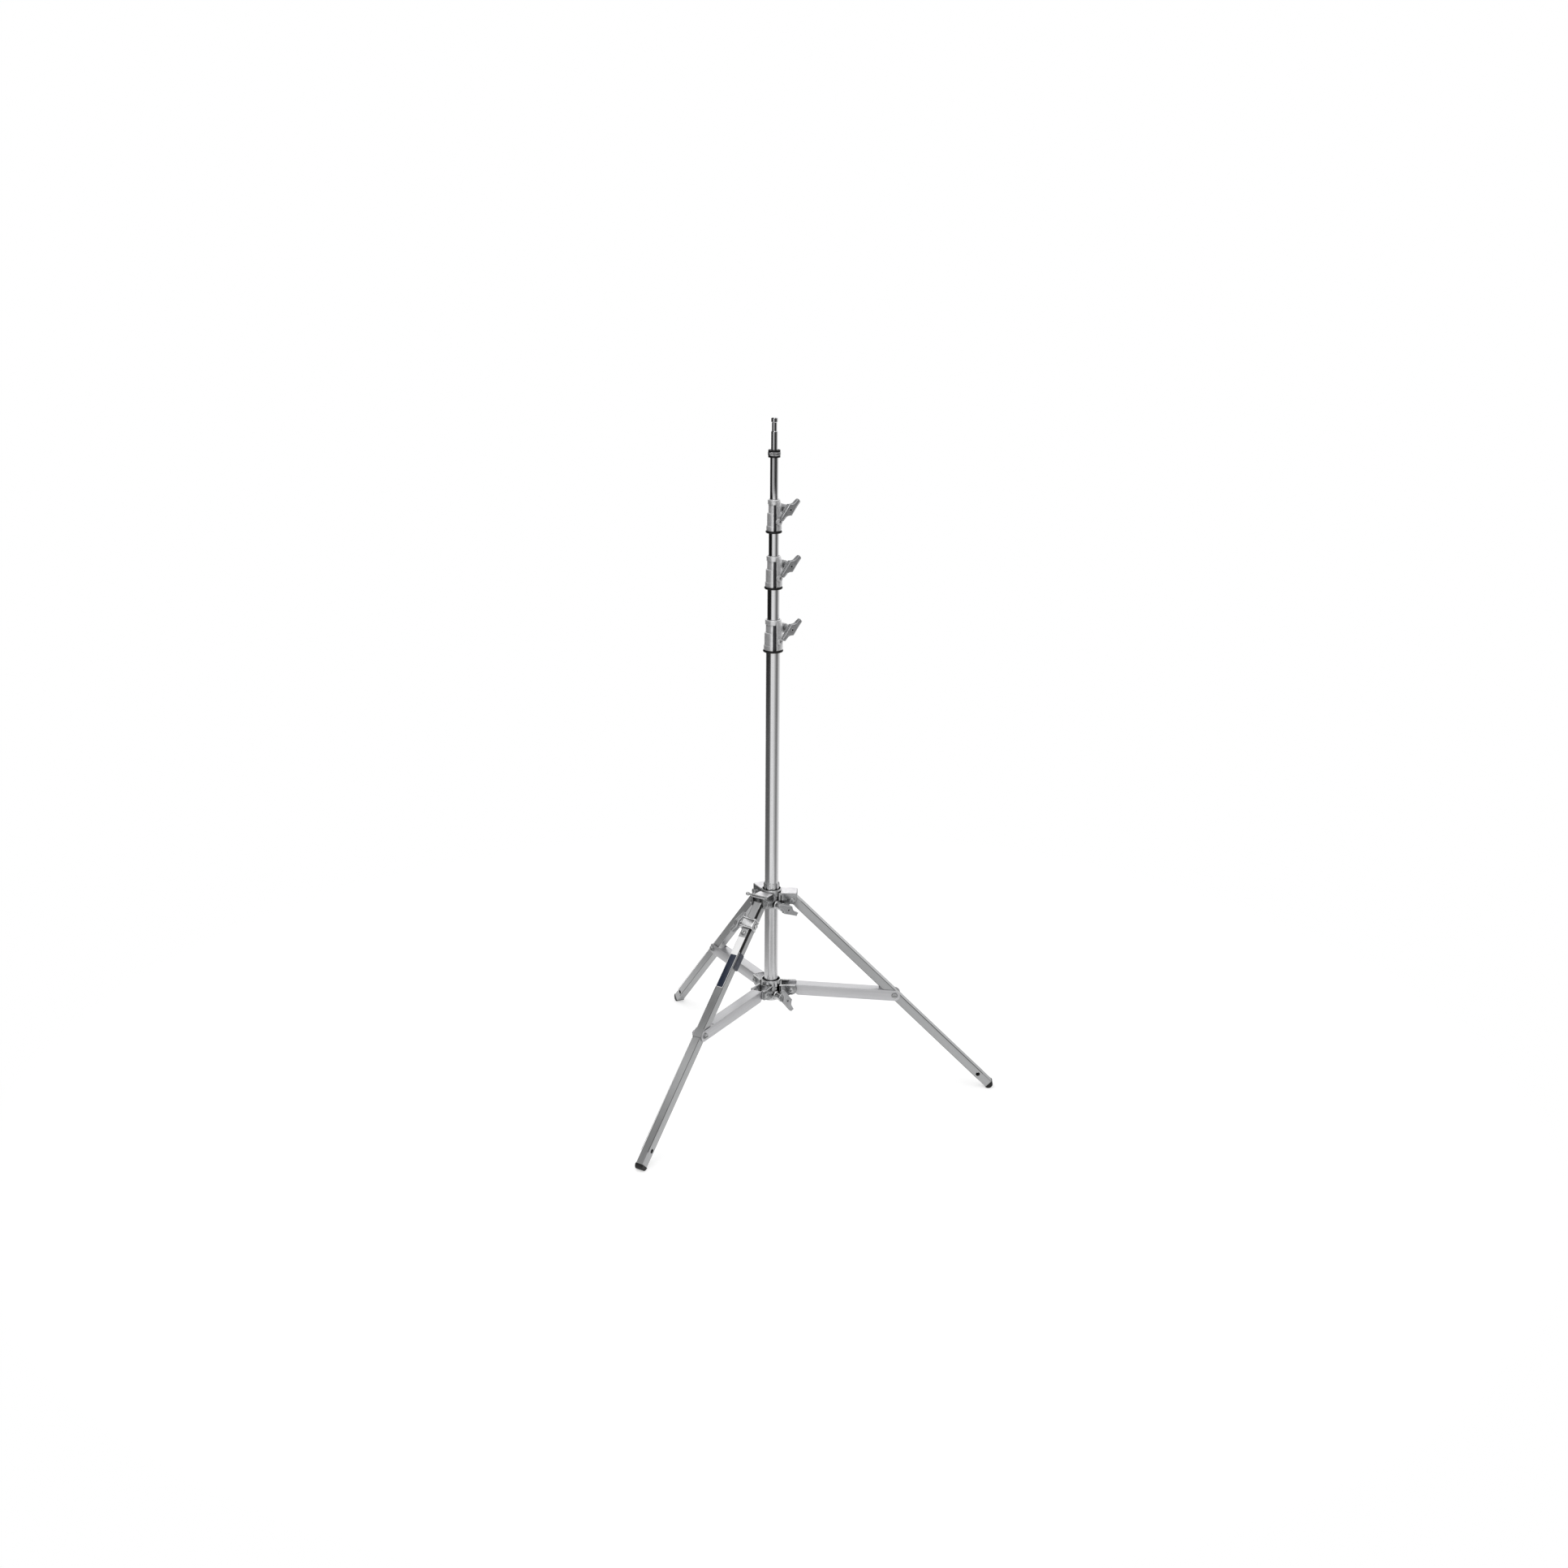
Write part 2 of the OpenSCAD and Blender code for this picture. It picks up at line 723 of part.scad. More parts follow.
module level_guide() {
    inner = leg_w / 2 + slide_gap;
    color(black) on_leg(az_f) translate([0, 0, -channel_len - guide_len])
        difference() {
            translate([-web_out, -brace_half, 0]) cube([web_out + channel_high, 2 * brace_half, guide_len]);
            translate([-inner, -inner, -cut])
                cube([inner + channel_high + cut, 2 * inner, guide_len + 2 * cut]);
        }
}

// Saddle at the end of the brace, through which the leg slides
module level_saddle() {
    high = saddle_in + sheet;
    color(satin) on_leg(az_f) translate([0, 0, -leg_upper])
        difference() {
            cube([2 * high, 2 * saddle_out, saddle_len], center = true);
            cube([2 * saddle_in, 2 * saddle_in, saddle_len + 2 * cut], center = true);
            cross_pin(bolt_r + seat_gap, -saddle_out - cut, saddle_out + cut);
        }
}

// Clamp over the leg, with a boss for its screw on one cheek
module level_clamp() {
    low = clamp_cheek_low;
    high = leg_w / 2 + tip_gap + clamp_cover;
    out = brace_half + clamp_cheek;
    color(cast) on_leg(az_f) translate([0, 0, -level_clamp_at])
        difference() {
            union() {
                translate([low, -out, -level_clamp_len / 2]) cube([high - low, 2 * out, level_clamp_len]);
                cross_pin(clamp_boss_r, -out - clamp_boss_len, -out + cut);
            }
            translate([low - cut, -brace_half, -level_clamp_len / 2 - cut])
                cube([leg_w / 2 + tip_gap - low + cut, 2 * brace_half, level_clamp_len + 2 * cut]);
            cross_pin(screw_r + fit_gap, -out - clamp_boss_len - cut, 0);
        }
}

module level_screw() {
    on_level_screw() screw(leg_w / 2 + tip_gap, level_handle_in + tip_gap);
}

module level_handle() {
    on_level_screw() handle(level_handle_in + tip_gap, level_handle_in + tip_gap, level_handle_turn);
}

function wanted(name) = node == "all" || node == name;

if (wanted("lower_hub")) lower_hub();
if (wanted("lower_hub_rivets")) lower_hub_rivets();
if (wanted("lower_hub_screw")) hub_screw(lower_pivot_z);
if (wanted("lower_hub_handle")) hub_handle(lower_pivot_z, lower_handle_turn);
if (wanted("column_tube")) column_tube();
if (wanted("column_end_plug")) column_end_plug();
for (n = [1 : 3]) {
    if (wanted(str("lock_", n, "_casting"))) lock_casting(n);
    if (wanted(str("lock_", n, "_guide"))) lock_guide(n);
    if (wanted(str("lock_", n, "_bumper"))) lock_bumper(n);
    if (wanted(str("lock_", n, "_nut"))) lock_nut(n);
    if (wanted(str("lock_", n, "_screw"))) lock_screw(n);
    if (wanted(str("lock_", n, "_handle"))) lock_handle(n);
    if (wanted(str("riser_", n, "_tube"))) riser_tube(n);
    if (wanted(str("riser_", n, "_bush"))) riser_bush(n);
}
if (wanted("spigot")) spigot();
if (wanted("spigot_collar")) spigot_collar();
if (wanted("spigot_rings")) spigot_rings();
if (wanted("upper_hub")) upper_hub();
if (wanted("upper_hub_bolts")) upper_hub_bolts();
if (wanted("leg_spacers")) leg_spacers();
if (wanted("upper_hub_screw")) hub_screw(upper_pivot_z);
if (wanted("upper_hub_handle")) hub_handle(upper_pivot_z, upper_handle_turn);
for (leg = [["a", az_a, leg_top], ["c", az_c, leg_top], ["f", az_f, leg_f_top]]) {
    if (wanted(str("brace_", leg[0]))) brace(leg[1]);
    if (wanted(str("brace_", leg[0], "_bolt"))) brace_bolt(leg[1]);
    if (wanted(str("leg_", leg[0], "_tube"))) leg_tube(leg[1], leg[2]);
    if (wanted(str("leg_", leg[0], "_foot"))) leg_foot(leg[1]);
}
if (wanted("leg_f_label")) leg_f_label();
if (wanted("level_saddle")) level_saddle();
if (wanted("level_channel")) level_channel();
if (wanted("level_guide")) level_guide();
if (wanted("level_clamp")) level_clamp();
if (wanted("level_screw")) level_screw();
if (wanted("level_handle")) level_handle();
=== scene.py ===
"""Looks of a telescopic lighting stand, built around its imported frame, in metres."""

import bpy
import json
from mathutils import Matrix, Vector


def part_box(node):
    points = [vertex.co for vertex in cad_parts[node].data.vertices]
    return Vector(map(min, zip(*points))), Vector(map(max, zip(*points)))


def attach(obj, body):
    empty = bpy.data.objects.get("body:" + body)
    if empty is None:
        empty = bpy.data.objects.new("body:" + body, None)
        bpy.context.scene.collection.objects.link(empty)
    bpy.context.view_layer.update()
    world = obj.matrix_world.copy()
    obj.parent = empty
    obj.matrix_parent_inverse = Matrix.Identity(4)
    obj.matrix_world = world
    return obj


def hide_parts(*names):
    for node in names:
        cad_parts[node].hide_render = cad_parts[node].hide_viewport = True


bl_info = {
    "name": "Lighting Stand Looks",
    "version": (1, 0, 0),
    "blender": (4, 5, 0),
    "location": "View3D > Sidebar > Stand",
    "description": "Chrome tubes, cast locks, folded legs and a plain studio for a lighting stand",
    "category": "Object",
}

import json
import math
from collections import namedtuple
from contextlib import contextmanager

import bmesh
import bpy
from bpy.props import FloatProperty, FloatVectorProperty, PointerProperty
from mathutils import Matrix, Vector

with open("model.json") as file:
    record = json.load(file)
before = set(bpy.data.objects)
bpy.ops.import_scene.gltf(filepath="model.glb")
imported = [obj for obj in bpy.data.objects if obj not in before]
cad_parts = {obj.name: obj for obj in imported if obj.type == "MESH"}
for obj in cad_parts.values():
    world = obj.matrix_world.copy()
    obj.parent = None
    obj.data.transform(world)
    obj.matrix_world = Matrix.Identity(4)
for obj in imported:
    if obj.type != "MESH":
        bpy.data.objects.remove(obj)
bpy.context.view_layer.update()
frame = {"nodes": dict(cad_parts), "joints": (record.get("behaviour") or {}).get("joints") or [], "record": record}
JOINTS = {joint["name"]: joint for joint in frame["joints"]}
MM = 0.001
LOCKS = (1, 2, 3)
LEGS = ("a", "c", "f")
UP = Vector((0, 0, 1))
SHARP_ANGLE = 38


# Sizes and colours that a user would change

def length(label, default_mm, description):
    """A size in millimetres as a Blender length."""
    return FloatProperty(
        name=label, description=description, default=default_mm * MM, unit="LENGTH", precision=4
    )


def colour(label, value, description):
    """A linear colour."""
    return FloatVectorProperty(
        name=label, description=description, default=value, subtype="COLOR", size=3, min=0, max=1
    )


def level(label, value, description, unit="NONE"):
    """A strength from zero up."""
    return FloatProperty(name=label, description=description, default=value, min=0, unit=unit)


class StandSizes(bpy.types.PropertyGroup):
    """Sizes of the details that the frame leaves plain."""

    handle_length: length("Handle length", 68, "Clamp handle from tip to tip")
    handle_belly: length("Handle belly", 13, "Half width of a clamp handle at its two corners")
    handle_arm: length("Handle arm", 4.6, "Half width of a clamp handle's arms")
    handle_thick: length("Handle thickness", 13, "Thickness of a clamp handle")
    label_white_len: length("White label", 50, "Length of the white part of the label")


class StandFinishes(bpy.types.PropertyGroup):
    """Base colours of the finishes."""

    chrome: colour("Chrome", (0.80, 0.80, 0.81), "Bright chrome on the round tubes")
    leg_steel: colour("Leg steel", (0.53, 0.535, 0.54), "Satin chrome on the square legs")
    brace_steel: colour("Brace steel", (0.67, 0.67, 0.685), "Satin chrome on the folded braces")
    casting: colour("Casting", (0.86, 0.86, 0.87), "Bare die-cast collars")
    hub: colour("Hub", (0.74, 0.745, 0.75), "Polished hubs")
    handle: colour("Handle", (0.54, 0.545, 0.555), "Tumbled clamp handles")
    zinc: colour("Zinc", (0.55, 0.555, 0.56), "Zinc plate on screws and bolts")
    # Painted shade: a near-black put in slots and pockets in place of the shade down there.
    recess: colour("Recess", (0.07, 0.07, 0.075), "Oiled cast metal down in slots and pockets")
    # Painted shade: the clevis sides are a darker copy of the steel whose tops are pale.
    dark_plate: colour("Dark plate", (0.38, 0.385, 0.39), "Blued steel of the clevis plates")
    # Painted light: the covers on top take a near-white in place of the light that falls on them.
    pale: colour("Pale cover", (0.94, 0.93, 0.95), "Bright blasted steel of the clevis covers")
    guide: colour("Guide", (0.05, 0.055, 0.075), "Dark plastic of the leg guide")
    black: colour("Black", (0.006, 0.006, 0.0065), "Black plastic and rubber")
    label_white: colour("Label white", (0.90, 0.90, 0.90), "Upper part of the label")
    label_navy: colour("Label navy", (0.012, 0.020, 0.045), "Lower part of the label")


class StageSettings(bpy.types.PropertyGroup):
    """Levels of the studio around the stand."""

    fill: level("Fill", 0.8, "World light that reaches matt surfaces")
    key: level("Key", 34.0, "Power of the soft box above", "POWER")


# Mesh building: everything is drawn in millimetres in a local frame that a matrix sets down

def set_at(origin, z_axis, x_axis):
    """Matrix of a local frame from its origin, its Z direction and a direction near its X."""
    z = Vector(z_axis).normalized()
    y = z.cross(Vector(x_axis)).normalized()
    x = y.cross(z)
    rotation = Matrix((x, y, z)).transposed()
    return Matrix.Translation(origin) @ rotation.to_4x4()


def moved(matrix, x, y, z):
    """Local frame moved along its own axes."""
    return matrix @ Matrix.Translation(Vector((x, y, z)) * MM)


def spun(matrix, axis, angle):
    """Local frame turned round one of its own axes, by degrees."""
    return matrix @ Matrix.Rotation(math.radians(angle), 4, axis)


def loft(bm, rings, matrix, closed=False):
    """Skin over rings of points with equal counts; open ends get a cap, closed ends meet."""
    made = [[bm.verts.new(matrix @ (Vector(p) * MM)) for p in ring] for ring in rings]
    count = len(rings[0])
    for low, high in zip(made, made[1:] + (made[:1] if closed else [])):
        for i in range(count):
            j = (i + 1) % count
            bm.faces.new((low[i], low[j], high[j], high[i]))
    if not closed:
        bm.faces.new(list(reversed(made[0])))
        bm.faces.new(made[-1])


def turned(profile, angle):
    """Profile of (radius, height) points at an angle around the local Z axis."""
    return [(r * math.cos(angle), r * math.sin(angle), z) for r, z in profile]


def revolve(bm, profile, matrix, steps=64):
    """Full ring of a closed profile around the local Z axis."""
    rings = [turned(profile, 2 * math.pi * k / steps) for k in range(steps)]
    loft(bm, rings, matrix, closed=True)


def sector(bm, profile, matrix, start, end, steps=48):
    """Part of a ring of a closed profile, between two angles in degrees."""
    angles = [math.radians(start + (end - start) * k / steps) for k in range(steps + 1)]
    loft(bm, [turned(profile, angle) for angle in angles], matrix)


@contextmanager
def painted(bm, index):
    """Gives all faces made inside it the material at an index."""
    first = len(bm.faces)
    yield
    bm.faces.ensure_lookup_table()
    for face in bm.faces[first:]:
        face.material_index = index


def corners(outline):
    """Each corner of a closed outline, between the one before and the one after it."""
    points = [Vector(p) for p in outline]
    return zip(points[-1:] + points[:-1], points, points[1:] + points[:1])


def fillet(outline, radius, steps=3):
    """Rounds every corner of a closed outline, by less where its sides are short."""
    out = []
    for before, corner, after in corners(outline):
        sides = [before - corner, after - corner]
        cut = min(radius, *(0.45 * side.length for side in sides))
        start, end = (corner + side.normalized() * cut for side in sides)
        for t in (k / steps for k in range(steps + 1)):
            out.append(tuple((1 - t) ** 2 * start + 2 * t * (1 - t) * corner + t ** 2 * end))
    return out


def arc(centre, radius, start, end, steps=12):
    """Points of an arc between two angles in degrees."""
    angles = [math.radians(start + (end - start) * k / steps) for k in range(steps + 1)]
    return [(centre[0] + radius * math.cos(a), centre[1] + radius * math.sin(a)) for a in angles]


def rectangle(x0, y0, x1, y1):
    """Corners of a rectangle from two of them, anticlockwise."""
    return [(x0, y0), (x1, y0), (x1, y1), (x0, y1)]


def inset(outline, distance):
    """Anticlockwise outline moved inwards by a distance along the mitre of each corner."""
    out = []
    for before, corner, after in corners(outline):
        sides = [(corner - before).normalized(), (after - corner).normalized()]
        normals = [Vector((-side.y, side.x)) for side in sides]
        mitre = normals[0] + normals[1]
        out.append(tuple(corner + mitre * (distance / max(0.35, mitre.dot(normals[0])))))
    return out


def plate(bm, outline, low, high, edge, matrix, steps=3):
    """Extruded outline between two heights, with edges rounded to a radius."""
    quarter = [math.pi / 2 * k / steps for k in range(steps + 1)]
    rings = []
    for angles, level_z, way in ((quarter, low, 1), (quarter[::-1], high, -1)):
        for angle in angles:
            z = level_z + way * edge * (1 - math.cos(angle))
            rings.append([(x, y, z) for x, y in inset(outline, edge * (1 - math.sin(angle)))])
    loft(bm, rings, matrix)


def plate_pair(bm, outline, near, far, edge, matrix):
    """Two plates at equal heights above and below the local XY plane."""
    for low, high in ((near, far), (-far, -near)):
        plate(bm, outline, low, high, edge, matrix)


def mesh_from(name, bm, materials=()):
    """Mesh with its materials from a bmesh, which is freed."""
    mesh = bpy.data.meshes.new(name)
    bm.to_mesh(mesh)
    bm.free()
    for material in materials:
        mesh.materials.append(material)
    return mesh


def add_object(name, data):
    """Object in the scene for a mesh, a lamp or a camera."""
    obj = bpy.data.objects.new(name, data)
    bpy.context.scene.collection.objects.link(obj)
    return obj


def piece(name, bm, slot, finishes, *nodes, body=None):
    """Object from a mesh that stands for the frame's nodes named, and rides on their body."""
    bmesh.ops.recalc_face_normals(bm, faces=bm.faces)
    mesh = mesh_from(name, bm, [FINISH[key] for key in finishes])
    mesh.shade_smooth()
    mesh.set_sharp_from_angle(angle=math.radians(SHARP_ANGLE))
    obj = add_object(name, mesh)
    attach(obj, body or frame_body(nodes[0]))
    if nodes:
        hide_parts(*nodes)


def reach(node_name, origin, axis):
    """Lowest and highest distance of a frame node from a point along an axis."""
    vertices = frame["nodes"][node_name].data.vertices
    along = [(v.co - origin).dot(axis) / MM for v in vertices]
    return min(along), max(along)


def frame_body(node_name):
    """Body that carries a frame node."""
    for body, members in frame["record"]["behaviour"]["bodies"].items():
        if node_name in members:
            return body
    raise KeyError(node_name)


# Shader groups: effects that several finishes share

def node(tree, kind, inputs=None, **settings):
    """Shader node with its settings, values and incoming links."""
    made = tree.nodes.new(kind)
    for key, value in settings.items():
        setattr(made, key, value)
    for key, value in (inputs or {}).items():
        if isinstance(value, bpy.types.NodeSocket):
            tree.links.new(value, made.inputs[key])
        else:
            made.inputs[key].default_value = value
    return made


def math_node(tree, operation, first, second):
    """Result of one sum on two values or sockets."""
    inputs = {0: first, 1: second}
    return node(tree, "ShaderNodeMath", inputs, operation=operation).outputs[0]


def times(tree, first, second):
    """Product of two values or sockets."""
    return math_node(tree, "MULTIPLY", first, second)


def vector_node(tree, operation, inputs):
    """Vector sum; its inputs are given by index or name."""
    return node(tree, "ShaderNodeVectorMath", inputs, operation=operation).outputs


def noise(tree, place, scale, detail, rough=0.5):
    """Noise between 0 and 1 at a place."""
    return node(tree, "ShaderNodeTexNoise", {
        "Vector": place, "Scale": scale, "Detail": detail, "Roughness": rough,
    }).outputs["Fac"]


def object_place(tree):
    """Coordinates of the object itself."""
    return node(tree, "ShaderNodeTexCoord").outputs["Object"]


def remap(tree, value, low, high, to_low=0.0, to_high=1.0):
    """Stretches a value from one range to another, and clamps it."""
    return node(tree, "ShaderNodeMapRange", {
        "Value": value, "From Min": low, "From Max": high, "To Min": to_low, "To Max": to_high,
    }).outputs["Result"]


def shader_group(name, inputs, outputs):
    """Empty node group with float inputs given by name and default, and named float outputs."""
    tree = bpy.data.node_groups.new(name, "ShaderNodeTree")
    for label, default in inputs.items():
        kind = "NodeSocketVector" if isinstance(default, tuple) else "NodeSocketFloat"
        socket = tree.interface.new_socket(label, in_out="INPUT", socket_type=kind)
        socket.default_value = default
    for label in outputs:
        tree.interface.new_socket(label, in_out="OUTPUT", socket_type="NodeSocketFloat")
    return tree, tree.nodes.new("NodeGroupInput"), tree.nodes.new("NodeGroupOutput")


def grain_group():
    """Fine lines drawn out along a direction, as on polished or brushed metal."""
    tree, given, result = shader_group(
        "Drawn Grain", {"Direction": (0.0, 0.0, 1.0), "Scale": 900.0, "Squeeze": 0.985},
        ["Grain", "Streak"])
    direction, scale = given.outputs["Direction"], given.outputs["Scale"]
    place = object_place(tree)
    along = vector_node(tree, "DOT_PRODUCT", {0: place, 1: direction})["Value"]
    share = times(tree, along, given.outputs["Squeeze"])
    pull = vector_node(tree, "SCALE", {0: direction, "Scale": share})[0]
    drawn = vector_node(tree, "SUBTRACT", {0: place, 1: pull})[0]
    tree.links.new(noise(tree, drawn, scale, 3.0, 0.6), result.inputs["Grain"])
    tree.links.new(noise(tree, drawn, times(tree, scale, 0.22), 2.0), result.inputs["Streak"])
    return tree


def marks_group():
    """Smudges from hands and a few hairline scratches."""
    tree, given, result = shader_group("Handling Marks", {"Scale": 1.0}, ["Smudge", "Scratch"])
    scale = given.outputs["Scale"]
    place = object_place(tree)
    smudge = noise(tree, place, times(tree, scale, 28.0), 5.0)
    tree.links.new(remap(tree, smudge, 0.35, 0.72), result.inputs["Smudge"])
    masks = []
    for tilt, stretch in ((0.5, 60.0), (-0.9, 45.0), (1.9, 52.0)):
        along = node(tree, "ShaderNodeMapping", {
            "Vector": place, "Rotation": (tilt, 0.7 * tilt, 1.3 * tilt),
            "Scale": (stretch, 900.0, 900.0),
        }).outputs[0]
        masks.append(remap(tree, noise(tree, along, scale, 1.0), 0.70, 0.76))
    both = math_node(tree, "MAXIMUM", masks[0], masks[1])
    tree.links.new(math_node(tree, "MAXIMUM", both, masks[2]), result.inputs["Scratch"])
    return tree


def cavity_group():
    """Mask of inner corners, where little light comes in; the finishes paint shade into them with it."""
    tree, given, result = shader_group("Cavity", {"Distance": 0.006}, ["Cavity"])
    near = node(tree, "ShaderNodeAmbientOcclusion", {"Distance": given.outputs["Distance"]},
                samples=8, only_local=True)
    tree.links.new(remap(tree, near.outputs["AO"], 0.95, 0.35), result.inputs["Cavity"])
    return tree


def skin_group():
    """Orange-peel skin of a die casting or a moulding, with slow mottling."""
    tree, given, result = shader_group("Cast Skin", {"Scale": 700.0}, ["Skin", "Mottle"])
    scale = given.outputs["Scale"]
    place = object_place(tree)
    mottle = noise(tree, place, times(tree, scale, 0.12), 4.0)
    tree.links.new(noise(tree, place, scale, 2.0), result.inputs["Skin"])
    tree.links.new(remap(tree, mottle, 0.3, 0.7), result.inputs["Mottle"])
    return tree


GROUPS = {}


def effect(tree, name, inputs=None):
    """Places a shared effect in a material, and builds its group at first use."""
    builders = {
        "grain": grain_group, "marks": marks_group, "cavity": cavity_group, "skin": skin_group,
    }
    if name not in GROUPS:
        GROUPS[name] = builders[name]()
    return node(tree, "ShaderNodeGroup", inputs, node_tree=GROUPS[name]).outputs


def tint(tree, factor, first, second):
    """Mix of two colours, either of which may be a socket."""
    inputs = {"Factor": factor}
    for index, value in ((6, first), (7, second)):
        inputs[index] = value if isinstance(value, bpy.types.NodeSocket) else (*value, 1.0)
    return node(tree, "ShaderNodeMix", inputs, data_type="RGBA").outputs[2]


def shade(value, amount):
    """A colour made lighter or darker by a share."""
    return tuple(min(1.0, c * amount) for c in value)


def new_material(name):
    """Material with its tree and its Principled shader's inputs."""
    material = bpy.data.materials.new(name)
    material.use_nodes = True
    tree = material.node_tree
    return material, tree, tree.nodes["Principled BSDF"].inputs


def bump(tree, shader, height, strength, distance):
    """Fine relief of a surface."""
    made = node(tree, "ShaderNodeBump", {
        "Strength": strength, "Distance": distance, "Height": height,
    })
    tree.links.new(made.outputs["Normal"], shader["Normal"])


# Finishes of the stand

def plated_metal(name, base, direction, rough, spread, grain_scale, cavity=0.006):
    """Plated steel with drawn lines along one direction, smudges, and painted shade darkening its inner corners.
    """
    material, tree, shader = new_material(name)
    lines = effect(tree, "grain", {"Direction": direction, "Scale": grain_scale})
    marks = effect(tree, "marks")
    hollows = effect(tree, "cavity", {"Distance": cavity})
    streaked = tint(tree, lines["Streak"], shade(base, 0.90), shade(base, 1.08))
    scratched = tint(tree, times(tree, marks["Scratch"], 0.35), streaked, shade(base, 1.25))
    # Painted shade: inner corners darkened towards a near-black copy of the base colour.
    dark = tint(tree, times(tree, hollows["Cavity"], 0.75), scratched, shade(base, 0.12))
    tree.links.new(dark, shader["Base Color"])
    brushed = remap(tree, lines["Grain"], 0.3, 0.7, rough - spread, rough + spread)
    worn = math_node(tree, "ADD", brushed, times(tree, marks["Smudge"], 0.5 * spread))
    tree.links.new(worn, shader["Roughness"])
    shader["Metallic"].default_value = 1.0
    bump(tree, shader, lines["Grain"], 0.12, 0.0002)
    return material


def cast_metal(name, base, rough, corner_shade, cavity=0.006, metallic=1.0):
    """Bare die casting: a soft skin, slow mottling, and painted shade darkening its corners."""
    material, tree, shader = new_material(name)
    surface = effect(tree, "skin")
    marks = effect(tree, "marks")
    hollows = effect(tree, "cavity", {"Distance": cavity})
    mottled = tint(tree, surface["Mottle"], shade(base, 0.90), shade(base, 1.06))
    scuffed = tint(tree, times(tree, marks["Scratch"], 0.5), mottled, shade(base, 1.3))
    # Painted shade: inner corners darkened towards a near-black copy of the base colour.
    shaded_corners = tint(tree, times(tree, hollows["Cavity"], corner_shade), scuffed, shade(base, 0.06))
    tree.links.new(shaded_corners, shader["Base Color"])
    tumbled = remap(tree, surface["Skin"], 0.3, 0.7, rough - 0.05, rough + 0.05)
    rubbed = math_node(tree, "ADD", tumbled, times(tree, marks["Smudge"], 0.06))
    tree.links.new(rubbed, shader["Roughness"])
    shader["Metallic"].default_value = metallic
    bump(tree, shader, surface["Skin"], 0.14, 0.0002)
    return material


def moulded_black(name, base, rough, skin_scale, height):
    """Black plastic or rubber with a moulded skin and paler rubbed places."""
    material, tree, shader = new_material(name)
    surface = effect(tree, "skin", {"Scale": skin_scale})
    marks = effect(tree, "marks", {"Scale": 1.4})
    mottled = tint(tree, surface["Mottle"], shade(base, 0.8), shade(base, 1.5))
    rubbed = tint(tree, times(tree, marks["Scratch"], 0.4), mottled, shade(base, 5.0))
    tree.links.new(rubbed, shader["Base Color"])
    gloss = remap(tree, marks["Smudge"], 0.0, 1.0, rough - 0.06, rough + 0.08)
    tree.links.new(gloss, shader["Roughness"])
    shader["Specular IOR Level"].default_value = 0.4
    bump(tree, shader, surface["Skin"], 0.4, height)
    return material


def film(name, base):
    """Printed film: an even colour with faint wear and a soft gloss."""
    material, tree, shader = new_material(name)
    marks = effect(tree, "marks", {"Scale": 1.2})
    worn = tint(tree, times(tree, marks["Smudge"], 0.35), base, shade(base, 0.82))
    scuffed = tint(tree, times(tree, marks["Scratch"], 0.06), worn, (0.5, 0.5, 0.5))
    tree.links.new(scuffed, shader["Base Color"])
    tree.links.new(remap(tree, marks["Smudge"], 0.0, 1.0, 0.28, 0.42), shader["Roughness"])
    return material


def joint_place(name):
    """Place of a joint at rest."""
    return Vector(JOINTS[name]["pos_m"])


def joint_axis(name):
    """Axis of a joint at rest."""
    return Vector(JOINTS[name]["axis"])


def brace_pivot(leg):
    """Place of the pivot at the inner end of a brace."""
    return joint_place("leg_fold" if leg == "a" else f"brace_{leg}_fold")


def foot_centre(leg):
    """Middle of a leg's foot."""
    low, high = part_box(f"leg_{leg}_foot")
    return (low + high) / 2


def leg_direction(leg):
    """Unit vector up a leg, from its foot to its top."""
    return (joint_place(f"leg_{leg}_fold") - foot_centre(leg)).normalized()


def brace_direction(leg):
    """Unit vector along a brace, from the hub outwards."""
    return (joint_place(f"leg_{leg}_fold") - brace_pivot(leg)).normalized()


FINISH = {}


